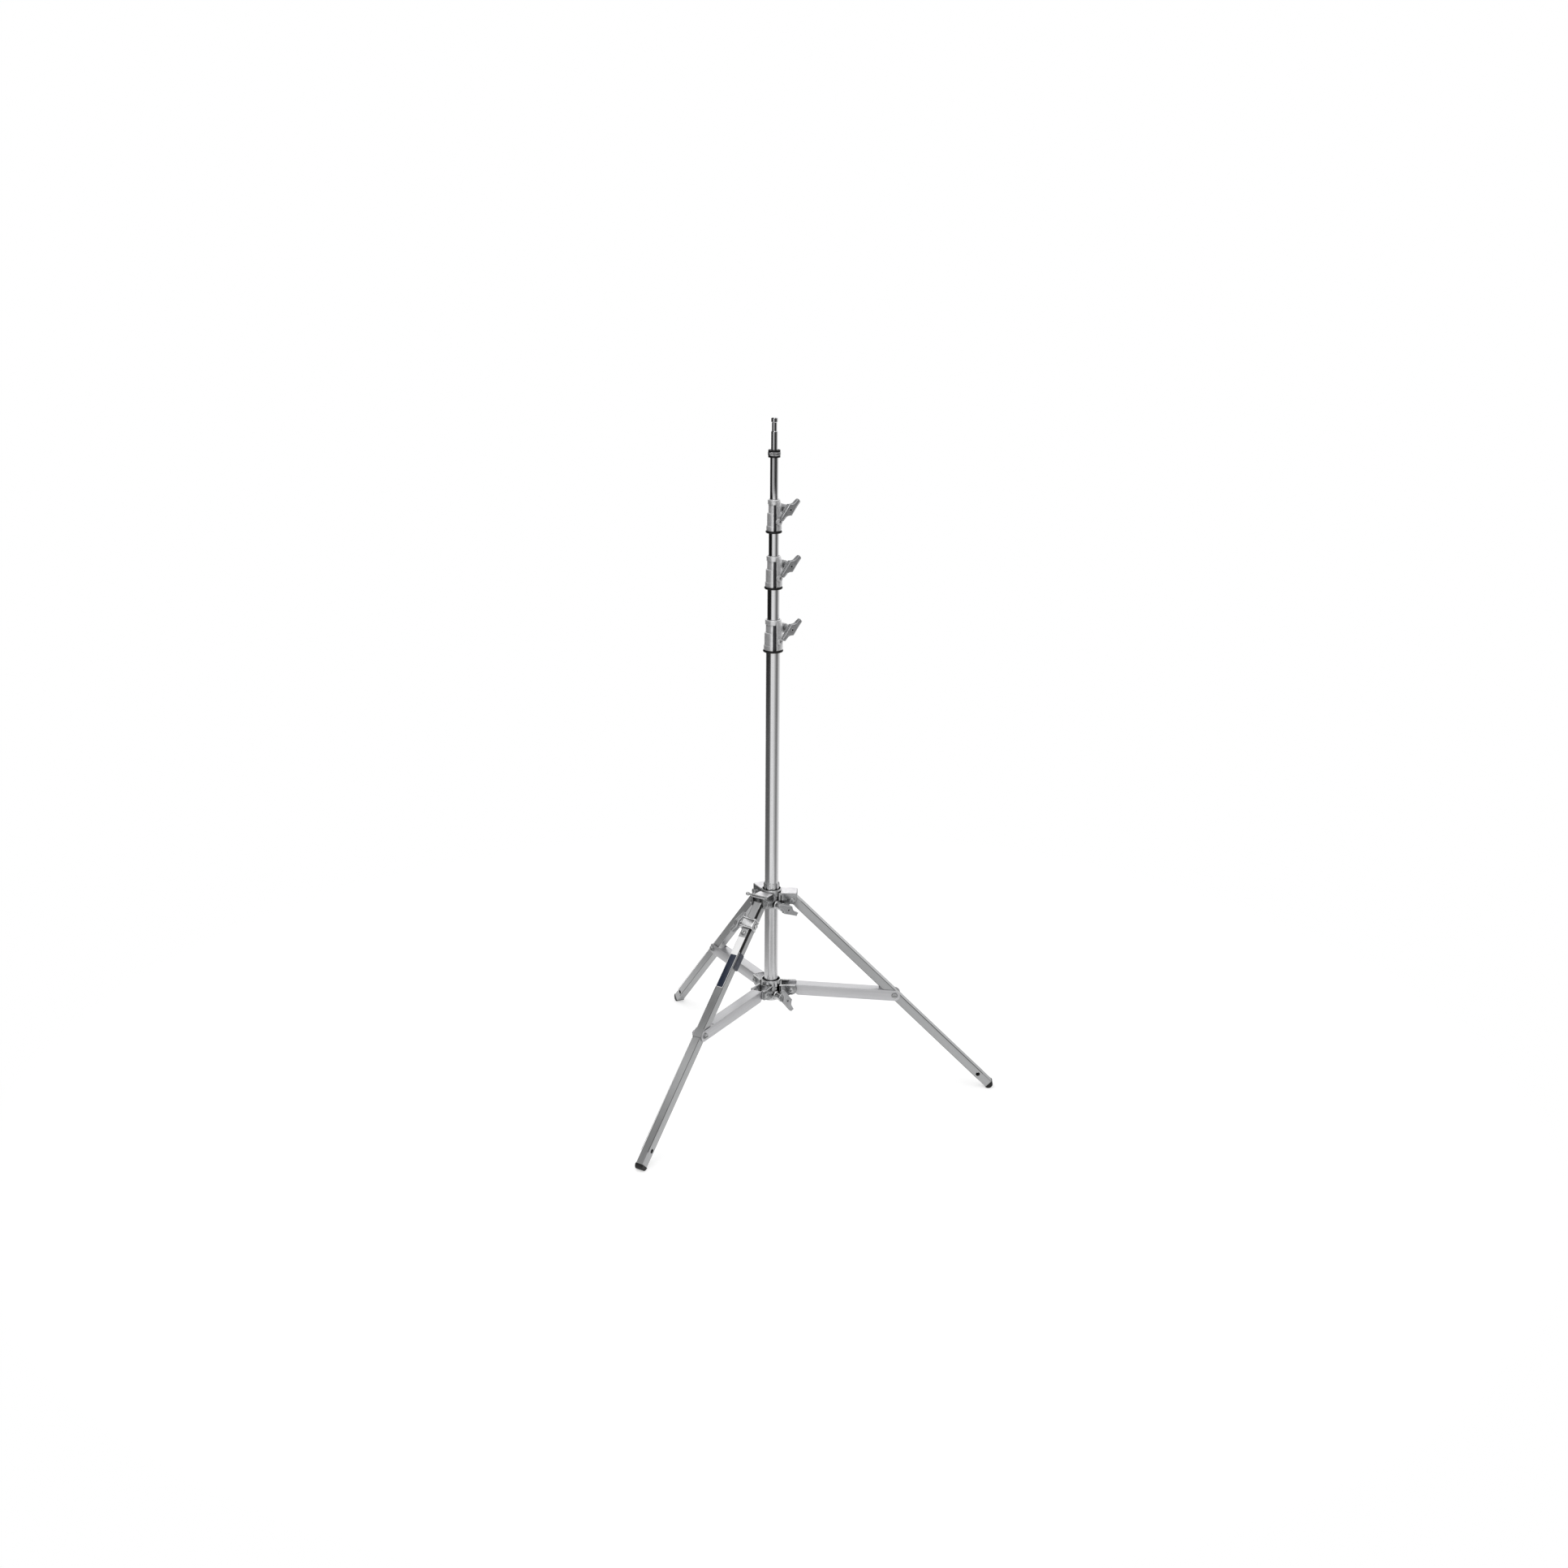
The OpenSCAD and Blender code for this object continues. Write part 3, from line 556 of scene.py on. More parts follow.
def make_finishes(colours):
    """All finishes by name; legs and braces have one each, because their grain runs along them."""
    along, across = (0, 0, 1), (1, 0, 0)
    plated = {
        "chrome": ("bright_chrome", colours.chrome, along, 0.18, 0.03, 1400.0),
        "riser": ("polished_chrome", colours.chrome, along, 0.13, 0.03, 1600.0),
        "spigot": ("turned_chrome", colours.chrome, across, 0.12, 0.03, 1200.0),
        "zinc": ("zinc_plate", colours.zinc, along, 0.25, 0.05, 1200.0, 0.003),
        # Painted reflection: dark strips on the leg corners, where the rounded corners reflect something dark.
        "edge": ("dull_edge", shade(colours.leg_steel, 0.3), along, 0.3, 0.05, 1200.0),
    }
    for leg in LEGS:
        plated[f"leg_{leg}"] = (
            f"satin_leg_{leg}", colours.leg_steel, tuple(leg_direction(leg)), 0.36, 0.07, 1500.0)
        plated[f"brace_{leg}"] = (
            f"satin_brace_{leg}", colours.brace_steel, tuple(brace_direction(leg)),
            0.38, 0.07, 1500.0)
    # Name, base colour, roughness, share of painted shade in the corners, reach of the corner mask, metallic
    cast = {
        "casting": ("die_cast_collar", colours.casting, 0.3, 0.85, 0.006, 0.6),
        "hub": ("polished_hub", colours.hub, 0.2, 0.95, 0.012),
        "handle": ("tumbled_handle", colours.handle, 0.34, 0.85, 0.004, 0.6),
        # Painted shade for slots and pockets.
        "recess": ("oiled_recess", colours.recess, 0.4, 0.8, 0.004),
        "plate": ("dark_plate", colours.dark_plate, 0.22, 0.75, 0.008),
        "pale": ("pale_cover", colours.pale, 0.45, 0.3, 0.002),
    }
    moulded = {
        "guide": ("dark_guide", colours.guide, 0.4, 800.0, 0.0001),
        "plastic": ("black_plastic", colours.black, 0.42, 900.0, 0.0002),
        "rubber": ("black_rubber", colours.black, 0.58, 600.0, 0.0004),
        "nylon": ("dark_nylon", shade(colours.black, 2.5), 0.4, 800.0, 0.0001),
        # Painted shade: the darkest black, put down in holes and gaps.
        "socket": ("socket_black", shade(colours.black, 0.5), 0.7, 800.0, 0.0001),
    }
    films = {
        "white_film": ("white_film", colours.label_white),
        "navy_film": ("navy_film", colours.label_navy),
    }
    for build, table in (
        (plated_metal, plated), (cast_metal, cast), (moulded_black, moulded), (film, films),
    ):
        for name, values in table.items():
            FINISH[name] = build(*values)


# Clamp handles: a lozenge with two arms, the same on every clamp

CAD_HANDLE_THICK = 12
HandleSizes = namedtuple("HandleSizes", "length belly arm thick")


def handle_side(place, sizes):
    """Half width of a handle on one side: a long flank up to a corner, then a short hollow one."""
    half = sizes.length / 2
    corner = 6
    hollow = 13
    flare = 0.8
    swell = sizes.belly - sizes.arm
    if place <= corner:
        return sizes.arm + swell * ((place + half) / (corner + half)) ** 1.2
    fall = max(0.0, 1 - (place - corner) / hollow)
    tip = max(0.0, place - corner - hollow) / (half - corner - hollow)
    return sizes.arm + swell * fall ** 1.6 + flare * tip


def handle_rings(sizes):
    """Cross-sections of a handle along its arms, inner face at height 0."""
    half = sizes.length / 2
    count = 34
    edge, groove, rim, dish, rise = 1.1, 1.5, 1.3, 0.7, 4.0
    thinning = 0.28
    flank = [
        (edge, 0.0), (0.0, 0.09), (0.0, 0.27), (groove, 0.31), (groove, 0.40), (0.0, 0.44),
        (0.0, 0.60), (groove, 0.64), (groove, 0.73), (0.0, 0.77), (0.0, 0.91), (edge, 1.0),
    ]
    tips = [(0.0, 1.3), (0.4, 0.5)]
    stations = [(x - half, shrink) for x, shrink in tips]
    stations += [(half * (2 * k / count - 1), 0.0) for k in range(1, count)]
    stations += [(half - x, shrink) for x, shrink in reversed(tips)]
    rings = []
    for x, shrink in stations:
        bend = (x / half) ** 2
        low = rise * bend + shrink
        high = low + sizes.thick * (1 - thinning * bend) - 2 * shrink
        ring = []
        for place, sign in ((x, 1), (-x, -1)):
            wide = handle_side(place, sizes) - shrink
            side = [(x, sign * (wide - dip), low + (high - low) * share) for dip, share in flank]
            side.append((x, sign * (wide - edge - rim), high))
            side.append((x, sign * (wide - edge - 1.4 * rim), high - dish))
            ring += side[::sign]
        rings.append(ring)
    return rings


def bore(bm, matrix, radius, depth, materials):
    """Mesh with a round hole along the local Z axis, whose wall takes the second material."""
    bmesh.ops.recalc_face_normals(bm, faces=bm.faces)
    drill = bmesh.new()
    with painted(drill, 1):
        bmesh.ops.create_cone(
            drill, cap_ends=True, segments=32, radius1=radius * MM, radius2=radius * MM,
            depth=depth * MM, matrix=moved(matrix, 0, 0, depth / 2))
    body, cutter = (
        add_object("scratch", mesh_from("scratch", made, materials)) for made in (bm, drill))
    modifier = body.modifiers.new("hole", "BOOLEAN")
    modifier.operation = "DIFFERENCE"
    modifier.solver = "EXACT"
    modifier.object = cutter
    bpy.context.view_layer.update()
    holed = bmesh.new()
    holed.from_mesh(body.evaluated_get(bpy.context.evaluated_depsgraph_get()).to_mesh())
    for obj in (body, cutter):
        mesh = obj.data
        bpy.data.objects.remove(obj)
        bpy.data.meshes.remove(mesh)
    return holed


def make_handle(name, joint_name, node_name, x_axis, turn, sizes):
    """Handle piece on its screw axis, with a ribbed boss below and a blind socket on top."""
    origin, axis = joint_place(joint_name), joint_axis(joint_name)
    seat, top = reach(node_name, origin, axis)
    face = top - CAD_HANDLE_THICK
    crown = face + sizes.thick
    sunk = 1
    socket_r, socket_deep = 2.5, 4.5
    boss_r, neck_r, core_r = 8.5, 6.3, 2
    rib_pitch = 3
    finishes = ("handle", "socket")
    at_screw = spun(set_at(origin, axis, x_axis), "Z", turn)
    bm = bmesh.new()
    loft(bm, handle_rings(sizes), moved(at_screw, 0, 0, face))
    # Painted shade: the wall of the socket takes the darkest black.
    bm = bore(bm, moved(at_screw, 0, 0, crown - socket_deep), socket_r, socket_deep + sunk,
              [FINISH[key] for key in finishes])
    ribs = max(1, round((face - seat) / rib_pitch))
    step = (face + sunk - seat) / ribs
    profile = [(core_r, seat)]
    for k in range(ribs):
        profile += [(radius, seat + (k + share) * step) for radius, share in (
            (boss_r, 0.0), (boss_r, 0.55), (neck_r, 0.62), (neck_r, 0.94))]
    profile.append((core_r, face + sunk))
    revolve(bm, profile, at_screw, 48)
    low, high = crown - 2, crown + 0.2
    ring = [(socket_r, low), (5.6, low), (5.2, high), (socket_r, high)]
    revolve(bm, fillet(ring, 0.4), at_screw, 40)
    piece(name, bm, "cast_handle", finishes, node_name)


# Locks: a turned collar with a clamp body, ears and a round boss cast on

SLOT_FROM = -89
SLOT_TO = -66
CLAMP_END = -6
BOSS_BEARING = -41


def make_collar(n):
    """Collar of one lock: a split sleeve under a full lip, a clamp body, two ears and a boss."""
    place, axis = joint_place(f"lock_{n}_turn"), joint_axis(f"lock_{n}_turn")
    at_screw = set_at(place, axis, UP.cross(axis))
    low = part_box(f"lock_{n}_bumper")[0].z
    at_foot = Matrix.Translation(UP * low)
    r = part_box("column_tube" if n == 1 else f"riser_{n - 1}_tube")[1].x / MM
    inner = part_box(f"lock_{n}_guide")[1].x / MM + 0.05

    def around_tube(*points):
        """Points given by their distance from the tube and their height."""
        return [(r + out, z) for out, z in points]

    def guide_side(*heights):
        """Points beside the guide sleeve."""
        return [(inner, z) for z in heights]

    bm = bmesh.new()
    sleeve = around_tube(
        (0.1, 6.0), (5.8, 6.0), (5.8, 17.0), (4.2, 18.5), (4.0, 47.8), (3.2, 49.2), (0.9, 49.8),
        (0.8, 70.0)) + guide_side(70, 46.8) + around_tube((0.1, 46.8))
    sector(bm, fillet(sleeve, 0.8), at_foot, SLOT_TO, SLOT_FROM + 360, 96)
    lip = around_tube((0.8, 68.8), (2.4, 70.2), (2.6, 80.6), (1.2, 82.0))
    lip = guide_side(68.8) + lip + guide_side(82)
    revolve(bm, fillet(lip, 0.6), at_foot, 96)
    clamp = around_tube(
        (0.3, 6.6), (6.6, 6.6), (7.0, 12.0), (6.6, 20.0), (6.6, 58.0), (6.0, 66.0), (4.2, 74.0),
        (2.7, 79.0), (0.3, 79.0))
    sector(bm, fillet(clamp, 1.6), at_foot, SLOT_TO, CLAMP_END, 32)

    root = r - place.xy.length / MM - 2
    ear = [(root, -15)] + arc((0, 0), 11, -90, 90) + [(root, 15)]
    plate_pair(bm, ear, 1.2, 9, 1.0, at_screw)

    boss_r, boss_z, hole_r = 9, 29, 3.1
    boss_at = moved(outward(BOSS_BEARING, low), boss_z, 0, r)
    disc = [(hole_r, 2), (boss_r, 2), (boss_r, 7.6), (boss_r - 0.8, 8.4), (hole_r, 8.4)]
    revolve(bm, fillet(disc, 0.6), boss_at, 40)

    # Painted shade: a near-black lining inside the split of the collar.
    slot_shade = guide_side(46.9) + around_tube((0.15, 46.9), (0.15, 6.3), (0.7, 6.3), (0.7, 70.0))
    with painted(bm, 1):
        sector(bm, slot_shade + guide_side(70), at_foot, SLOT_FROM - 2, SLOT_TO + 2, 12)
    # Painted shade: a black disc down in the hole of the boss.
    with painted(bm, 2):
        revolve(bm, rectangle(0.3, 4.6, hole_r, 5.0), boss_at, 24)
    piece(f"lock_{n}_collar", bm, "die_cast", ("casting", "recess", "socket"),
          f"lock_{n}_casting")


class STAND_OT_locks(bpy.types.Operator):
    """Three cast lock collars"""

    bl_idname = "stand.locks"
    bl_label = "Lock collars"

    def execute(self, context):
        for n in LOCKS:
            make_collar(n)
        return {"FINISHED"}


# Hubs: a sleeve with a pocket round the column, three clevises and a boss for the clamp screw

HUB_BORE = 17.9
HUB_R = 24.8
PLATE_IN = 14.6
PLATE_OUT = 18.9
SCREW_BEARING = -50
SCREW_Z = -15
BEARINGS = {"a": 0, "c": 120, "f": 240}
PIVOT = JOINTS["leg_fold"]["pos_m"][0] / MM
HUB_FINISHES = ("hub", "recess", "plate", "pale")


def heading(bearing):
    """Horizontal unit vector at a bearing in degrees."""
    angle = math.radians(bearing)
    return Vector((math.cos(angle), math.sin(angle), 0))


def radial(bearing, z):
    """Frame at a height on the column axis: X out at a bearing, Y up, Z to the right of it."""
    out = heading(bearing)
    return set_at(UP * z, out.cross(UP), out)


def outward(bearing, z):
    """Frame at a height on the column axis with Z out at a bearing and X up."""
    return set_at(UP * z, heading(bearing), UP)


def both_sides(bearing, out, z):
    """Frames of both sides of a pivot at a distance from the column axis, Z out of the side."""
    for flip in (0, 180):
        yield spun(moved(radial(bearing, z), out, 0, 0), "X", flip)


def hex_head(bm, matrix, low, high, radius):
    """Six-sided head along the local Z axis with a turned-down crown."""
    foot, crown = 0.4, 0.7
    levels = [(radius - foot, low), (radius, low + foot), (radius, high - crown),
              (radius - crown, high)]
    sides = [turned(levels, math.pi / 3 * k) for k in range(6)]
    loft(bm, list(zip(*sides)), matrix)


def round_head(bm, matrix, low, high, radius):
    """Domed head along the local Z axis."""
    rise = high - low
    angles = [math.radians(a) for a in (90, 75, 60, 45, 30, 15, 4)]
    dome = [(radius * math.sin(a), low + rise * (0.35 + 0.65 * math.cos(a))) for a in angles]
    revolve(bm, [(0.3, low), (radius, low)] + dome + [(0.3, high)], matrix, 32)


def slotted_head(bm, matrix, low, high, radius):
    """Cheese head with a driver slot, as two half rounds on a thin disc."""
    slot = 0.9
    floor = high - 0.45 * (high - low)
    revolve(bm, fillet(rectangle(0.3, low, radius, floor), 0.2), matrix, 32)
    span = math.degrees(math.acos(slot / radius))
    half = arc((0, 0), radius, 90 - span, 90 + span, 16)
    for flip in (0, 180):
        plate(bm, half, floor, high, 0.5, spun(matrix, "Z", flip))


def washer(bm, matrix, low, high, radius, hole):
    """Ring along the local Z axis; a shank is one with a very small hole."""
    revolve(bm, fillet(rectangle(hole, low, radius, high), 0.3), matrix, 40)


def hub_common(bm, z, low):
    """Sleeve with an open pocket on top, clamp boss and the three blocks behind the clevises."""
    at_hub = Matrix.Translation(UP * z)
    waist, pocket = 23.4, 22.6
    sleeve = [
        (HUB_BORE, low), (21.0, low), (HUB_R, low + 5), (HUB_R, -9), (waist, -7.5), (waist, 6),
        (HUB_R, 7.5), (HUB_R, 23), (24.2, 24), (23.2, 24), (pocket, 23), (pocket, 7.5),
        (HUB_BORE, 6),
    ]
    revolve(bm, fillet(sleeve, 1.2), at_hub, 96)
    boss = [(5.2, 18), (12.0, 18), (12.0, 27), (10.0, 29), (10.0, 45), (11.0, 46), (11.0, 49),
            (10.2, 50), (5.2, 50)]
    revolve(bm, fillet(boss, 0.7), moved(outward(SCREW_BEARING, z), SCREW_Z, 0, 0), 48)
    back = fillet(rectangle(23, -21, 27.5, 12), 1.2)
    for bearing in BEARINGS.values():
        plate(bm, back, -PLATE_OUT, PLATE_OUT, 1.0, radial(bearing, z))
    # Painted shade: a near-black ring down in the pocket round the column.
    pocket_shade = [(HUB_BORE, 7.4), (22.7, 7.8), (22.7, 9.5), (HUB_BORE, 9.5)]
    with painted(bm, HUB_FINISHES.index("recess")):
        revolve(bm, pocket_shade, at_hub, 64)


def clevis_plates(bm, z, outline, bearing):
    """Two dark plates of a clevis, their darkness painted shade on its sides."""
    with painted(bm, HUB_FINISHES.index("plate")):
        plate_pair(bm, fillet(outline, 1.5), PLATE_IN, PLATE_OUT, 0.9, radial(bearing, z))


def pivot_frames(z):
    """Frames of both sides of each pivot of a hub."""
    for bearing in BEARINGS.values():
        yield from both_sides(bearing, PIVOT, z)


def upper_pivot_z():
    """Height of the pivots of the upper hub."""
    low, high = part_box("upper_hub_bolts")
    return (low.z + high.z) / 2


def make_upper_hub():
    """Upper hub with a split neck, covers over its clevises, a rod and hexagon bolts."""
    z = upper_pivot_z()
    bm = bmesh.new()
    hub_common(bm, z, -26)
    at_hub = Matrix.Translation(UP * z)
    finger = fillet([(18.1, 6.5), (20.6, 6.5), (20.6, 37), (19.4, 40), (18.1, 40)], 0.8)
    fingers, finger_start, finger_wide = 10, -8, 21
    for k in range(fingers):
        start = 360 / fingers * k + finger_start
        sector(bm, finger, at_hub, start, start + finger_wide, 10)
    cheek = ([(19, -21), (44, -17)] + arc((PIVOT, 0), 13, -110, -20)
             + [(66, 0), (66, 17), (19, 17)])
    cover_half = PLATE_OUT + 0.4
    cover = fillet(rectangle(24, -cover_half, 65, cover_half), 2)
    for bearing in BEARINGS.values():
        clevis_plates(bm, z, cheek, bearing)
        # Painted light: near-white covers on the tops of the clevises.
        with painted(bm, HUB_FINISHES.index("pale")):
            plate(bm, cover, 15.6, 18.6, 1.2, set_at(UP * z, UP, heading(bearing)))
    at_rod = moved(radial(BEARINGS["f"], z), 60, 20, 0)
    rod = [(0.3, -24), (3.0, -24), (3.0, 29), (4.6, 30), (5.2, 33), (4.6, 36), (1.6, 37),
           (0.3, 37)]
    revolve(bm, fillet(rod, 0.5), at_rod, 32)
    head_bearing, head_z = -94, -13
    at_head = moved(outward(head_bearing, z), head_z, 0, 0)
    slotted_head(bm, at_head, HUB_R - 1, HUB_R + 5, 6)
    piece("upper_hub_casting", bm, "die_cast", HUB_FINISHES, "upper_hub")
    bolts = bmesh.new()
    for at_pivot in pivot_frames(z):
        washer(bolts, at_pivot, PLATE_OUT, PLATE_OUT + 1.5, 9, 2)
        hex_head(bolts, at_pivot, PLATE_OUT + 1.4, PLATE_OUT + 7.4, 7)
        washer(bolts, at_pivot, 14.3, PLATE_OUT + 1, 4, 0.3)
    piece("upper_hub_pivots", bolts, "zinc_steel", ["zinc"], "upper_hub_bolts")


def make_lower_hub():
    """Lower hub with flanged clevises and round rivets."""
    z = JOINTS["leg_fold"]["pos_m"][2]
    bm = bmesh.new()
    hub_common(bm, z, -31)
    cheek = ([(23, -21), (42, -19)] + arc((PIVOT, 0), 14, -100, 20)
             + [(PIVOT + 11, 13), (23, 13)])
    flange = fillet(rectangle(22.6, 10.6, PIVOT + 10, 13.6), 0.8)
    for bearing in BEARINGS.values():
        clevis_plates(bm, z, cheek, bearing)
        plate_pair(bm, flange, PLATE_OUT - 2, PLATE_OUT + 1.6, 0.7, radial(bearing, z))
    head_bearing, head_z = -86, -18
    at_head = moved(outward(head_bearing, z), head_z, 0, 0)
    slotted_head(bm, at_head, HUB_R - 2, HUB_R + 4, 6)
    piece("lower_hub_casting", bm, "die_cast", HUB_FINISHES, "lower_hub")
    rivets = bmesh.new()
    for at_pivot in pivot_frames(z):
        washer(rivets, at_pivot, 12.2, PLATE_OUT + 0.5, 4, 0.3)
        washer(rivets, at_pivot, PLATE_OUT, PLATE_OUT + 1.2, 9, 2)
        round_head(rivets, at_pivot, PLATE_OUT + 1.1, PLATE_OUT + 6.3, 7)
    piece("lower_hub_pivots", rivets, "zinc_steel", ["zinc"], "lower_hub_rivets")


class STAND_OT_hubs(bpy.types.Operator):
    """Upper and lower hub with their pivots"""

    bl_idname = "stand.hubs"
    bl_label = "Hubs"

    def execute(self, context):
        make_upper_hub()
        make_lower_hub()
        return {"FINISHED"}


# Legs: braces, bolts at the knees, and the clamp, label and stop screw of the levelling leg

BRACE_HALF = 14.0
BRACE_TOP = 13.5
BRACE_LOW = -9.0
BRACE_DEEP = -15.0
SHEET = 2.0
LEG_HALF = 11.0
LEG_CORNER = 14.53


def leg_frame(leg, along=0.0):
    """Frame of a leg at a distance from its top pivot: Z up the leg, X out and square to it."""
    out = heading(BEARINGS[leg])
    top = out * (PIVOT * MM) + UP * upper_pivot_z()
    return moved(set_at(top, leg_direction(leg), out), 0, 0, along)


def make_brace(leg):
    """Folded brace: two deep cheeks with round ends and a web that stops short of both pivots."""
    hub = brace_pivot(leg)
    out = brace_direction(leg)
    at_brace = set_at(hub, out.cross(UP), out)
    far = (joint_place(f"leg_{leg}_fold") - hub).length / MM

    def round_end(place, low, start, end):
        """Part of the round at one end of a cheek."""
        return arc((place, (BRACE_TOP + low) / 2), (BRACE_TOP - low) / 2, start, end)

    cheek = (round_end(0, BRACE_LOW, 90, 270) + [(9, BRACE_LOW), (17, BRACE_DEEP)]
             + round_end(far, BRACE_DEEP, -90, 90))
    bm = bmesh.new()
    plate_pair(bm, cheek, BRACE_HALF - SHEET, BRACE_HALF, 0.7, at_brace)
    opening = math.pi - math.acos(out.dot(leg_direction(leg)))
    web_gap = 10.5
    web_end = far - BRACE_TOP / math.tan(opening) - LEG_HALF / math.sin(opening) - web_gap
    web = fillet(rectangle(12, BRACE_TOP - SHEET, web_end, BRACE_TOP), 0.4)
    web_half = BRACE_HALF - 0.9
    plate(bm, web, -web_half, web_half, 0.1, at_brace)
    piece(f"brace_{leg}_channel", bm, "satin_steel", [f"brace_{leg}"], f"brace_{leg}")


def make_leg_edges(leg):
    """Dark strips along the rounded corners of a leg tube: a painted dark reflection."""
    at_leg = leg_frame(leg)
    low = (at_leg.inverted() @ foot_centre(leg)).z / MM + 24
    high = -22
    strip = rectangle(-0.4, -0.85, 0.05, 0.85)
    bm = bmesh.new()
    for turn in (45, 135, 225, 315):
        plate(bm, strip, low, high, 0.02, moved(spun(at_leg, "Z", turn), LEG_CORNER, 0, 0))
    piece(f"leg_{leg}_edges", bm, "satin_steel", ["edge"], body=f"leg_{leg}")


def make_knee_bolt(leg):
    """Slotted heads on both sides of a knee, with their washers and what shows of the shank."""
    place = joint_place(f"leg_{leg}_fold")
    bm = bmesh.new()
    for at_knee in both_sides(BEARINGS[leg], place.xy.length / MM, place.z):
        washer(bm, at_knee, 11.4, 15.2, 4, 0.3)
        washer(bm, at_knee, 14.2, 15.3, 8.6, 2)
        slotted_head(bm, at_knee, 15.2, 20.3, 7)
    piece(f"knee_{leg}_bolt", bm, "zinc_steel", ["zinc"], f"brace_{leg}_bolt")


def make_level_clamp():
    """Strap clamp over the channel with two ribs, a boss for its screw and a pad opposite."""
    along = (leg_frame("f").inverted() @ joint_place("level_clamp_turn")).z / MM
    at_clamp = leg_frame("f", along)
    low, inside, top = -8.0, 11.45, 15.4
    outer, inner = 18.0, 14.05
    strap_half, rib_near, rib_far, rib_rise = 14.0, 9.6, 14.4, 1.4

    def strap(grow):
        """Outline of the strap, grown outwards."""
        side, high = outer + grow, top + grow
        return fillet([
            (low, -side), (high, -side), (high, side), (low, side), (low, inner),
            (inside, inner), (inside, -inner), (low, -inner),
        ], 2.4)

    bm = bmesh.new()
    plate(bm, strap(0.0), -strap_half, strap_half, 0.8, at_clamp)
    plate_pair(bm, strap(rib_rise), rib_near, rib_far, 0.9, at_clamp)
    boss = [(5.2, 16), (10.5, 16), (10.5, 19.5), (8.5, 21), (8.5, 26.3), (7.8, 27), (5.2, 27)]
    revolve(bm, fillet(boss, 0.6), spun(at_clamp, "X", 90), 40)
    round_head(bm, spun(at_clamp, "X", -90), 17.5, 22.5, 6.5)
    piece("level_strap", bm, "die_cast", ["hub"], "level_clamp")


def make_label(white_len):
    """Plain label: a white film with a navy field that leaves a light edge."""
    at_leg = leg_frame("f")
    to_leg = at_leg.inverted()
    points = [(to_leg @ v.co) / MM for v in frame["nodes"]["leg_f_label"].data.vertices]
    near, _, low = (min(axis) for axis in zip(*points))
    far, half, high = (max(axis) for axis in zip(*points))
    edge = 0.9
    flat = at_leg @ Matrix(((0, 0, 1, 0), (1, 0, 0, 0), (0, 1, 0, 0), (0, 0, 0, 1)))
    bm = bmesh.new()
    white = fillet(rectangle(-half, low, half, high), 1.5)
    plate(bm, white, near, far, 0.05, flat)
    navy = fillet(rectangle(edge - half, low + edge, half - edge, high - white_len / MM), 1.0)
    with painted(bm, 1):
        plate(bm, navy, far - 0.02, far + 0.06, 0.02, flat)
    piece("plain_label", bm, "label_film", ("white_film", "navy_film"), "leg_f_label")


def make_stop_screw():
    """Slotted screw on the face of the levelling leg, above its label."""
    below_pivot = 93
    bm = bmesh.new()
    at_screw = spun(leg_frame("f", -below_pivot), "Y", 90)
    washer(bm, at_screw, LEG_HALF - 0.1, LEG_HALF + 0.9, 7, 2)
    slotted_head(bm, at_screw, LEG_HALF + 0.8, LEG_HALF + 4.2, 5.2)
    piece("level_stop_screw", bm, "zinc_steel", ["zinc"], body="leg_f")


def make_gap_shade():
    """Black strip between the levelling leg and one wall of its channel: a dark sheet as painted shade in the gap.
    """
    strip = fillet(rectangle(3.0, 11.2, 10.6, 12.8), 0.5)
    low, high = -144, -9
    bm = bmesh.new()
    plate(bm, strip, low, high, 0.3, leg_frame("f"))
    piece("channel_gap_shade", bm, "nylon", ["socket"], body="level_channel")


class STAND_OT_legs(bpy.types.Operator):
    """Braces, leg corners, knee bolts and the fittings of the levelling leg"""

    bl_idname = "stand.legs"
    bl_label = "Leg fittings"

    def execute(self, context):
        for leg in LEGS:
            make_brace(leg)
            make_leg_edges(leg)
            make_knee_bolt(leg)
        make_level_clamp()
        make_label(context.scene.stand_sizes.label_white_len)
        make_stop_screw()
        make_gap_shade()
        return {"FINISHED"}


class STAND_OT_spigot(bpy.types.Operator):
    """Knurled collar under the spigot"""

    bl_idname = "stand.spigot"
    bl_label = "Spigot collar"

    def execute(self, context):
        low, high = (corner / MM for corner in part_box("spigot_collar"))
        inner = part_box("spigot")[1].x / MM + 0.1
        bevel, tooth_depth = 1.0, 0.7
        edge = high.x - bevel
        teeth, per_tooth = 44, 4
        steps = teeth * per_tooth
        rings = []
        for k in range(steps):
            out = high.x - (0.0 if k % per_tooth < per_tooth / 2 else tooth_depth)
            profile = [(inner, low.z), (edge, low.z), (out, low.z + bevel),
                       (out, high.z - bevel), (edge, high.z), (inner, high.z)]
            rings.append(turned(profile, 2 * math.pi * k / steps))
        bm = bmesh.new()
        loft(bm, rings, Matrix.Identity(4), closed=True)
        piece("knurled_collar", bm, "chrome_tube", ["spigot"], "spigot_collar")
        return {"FINISHED"}


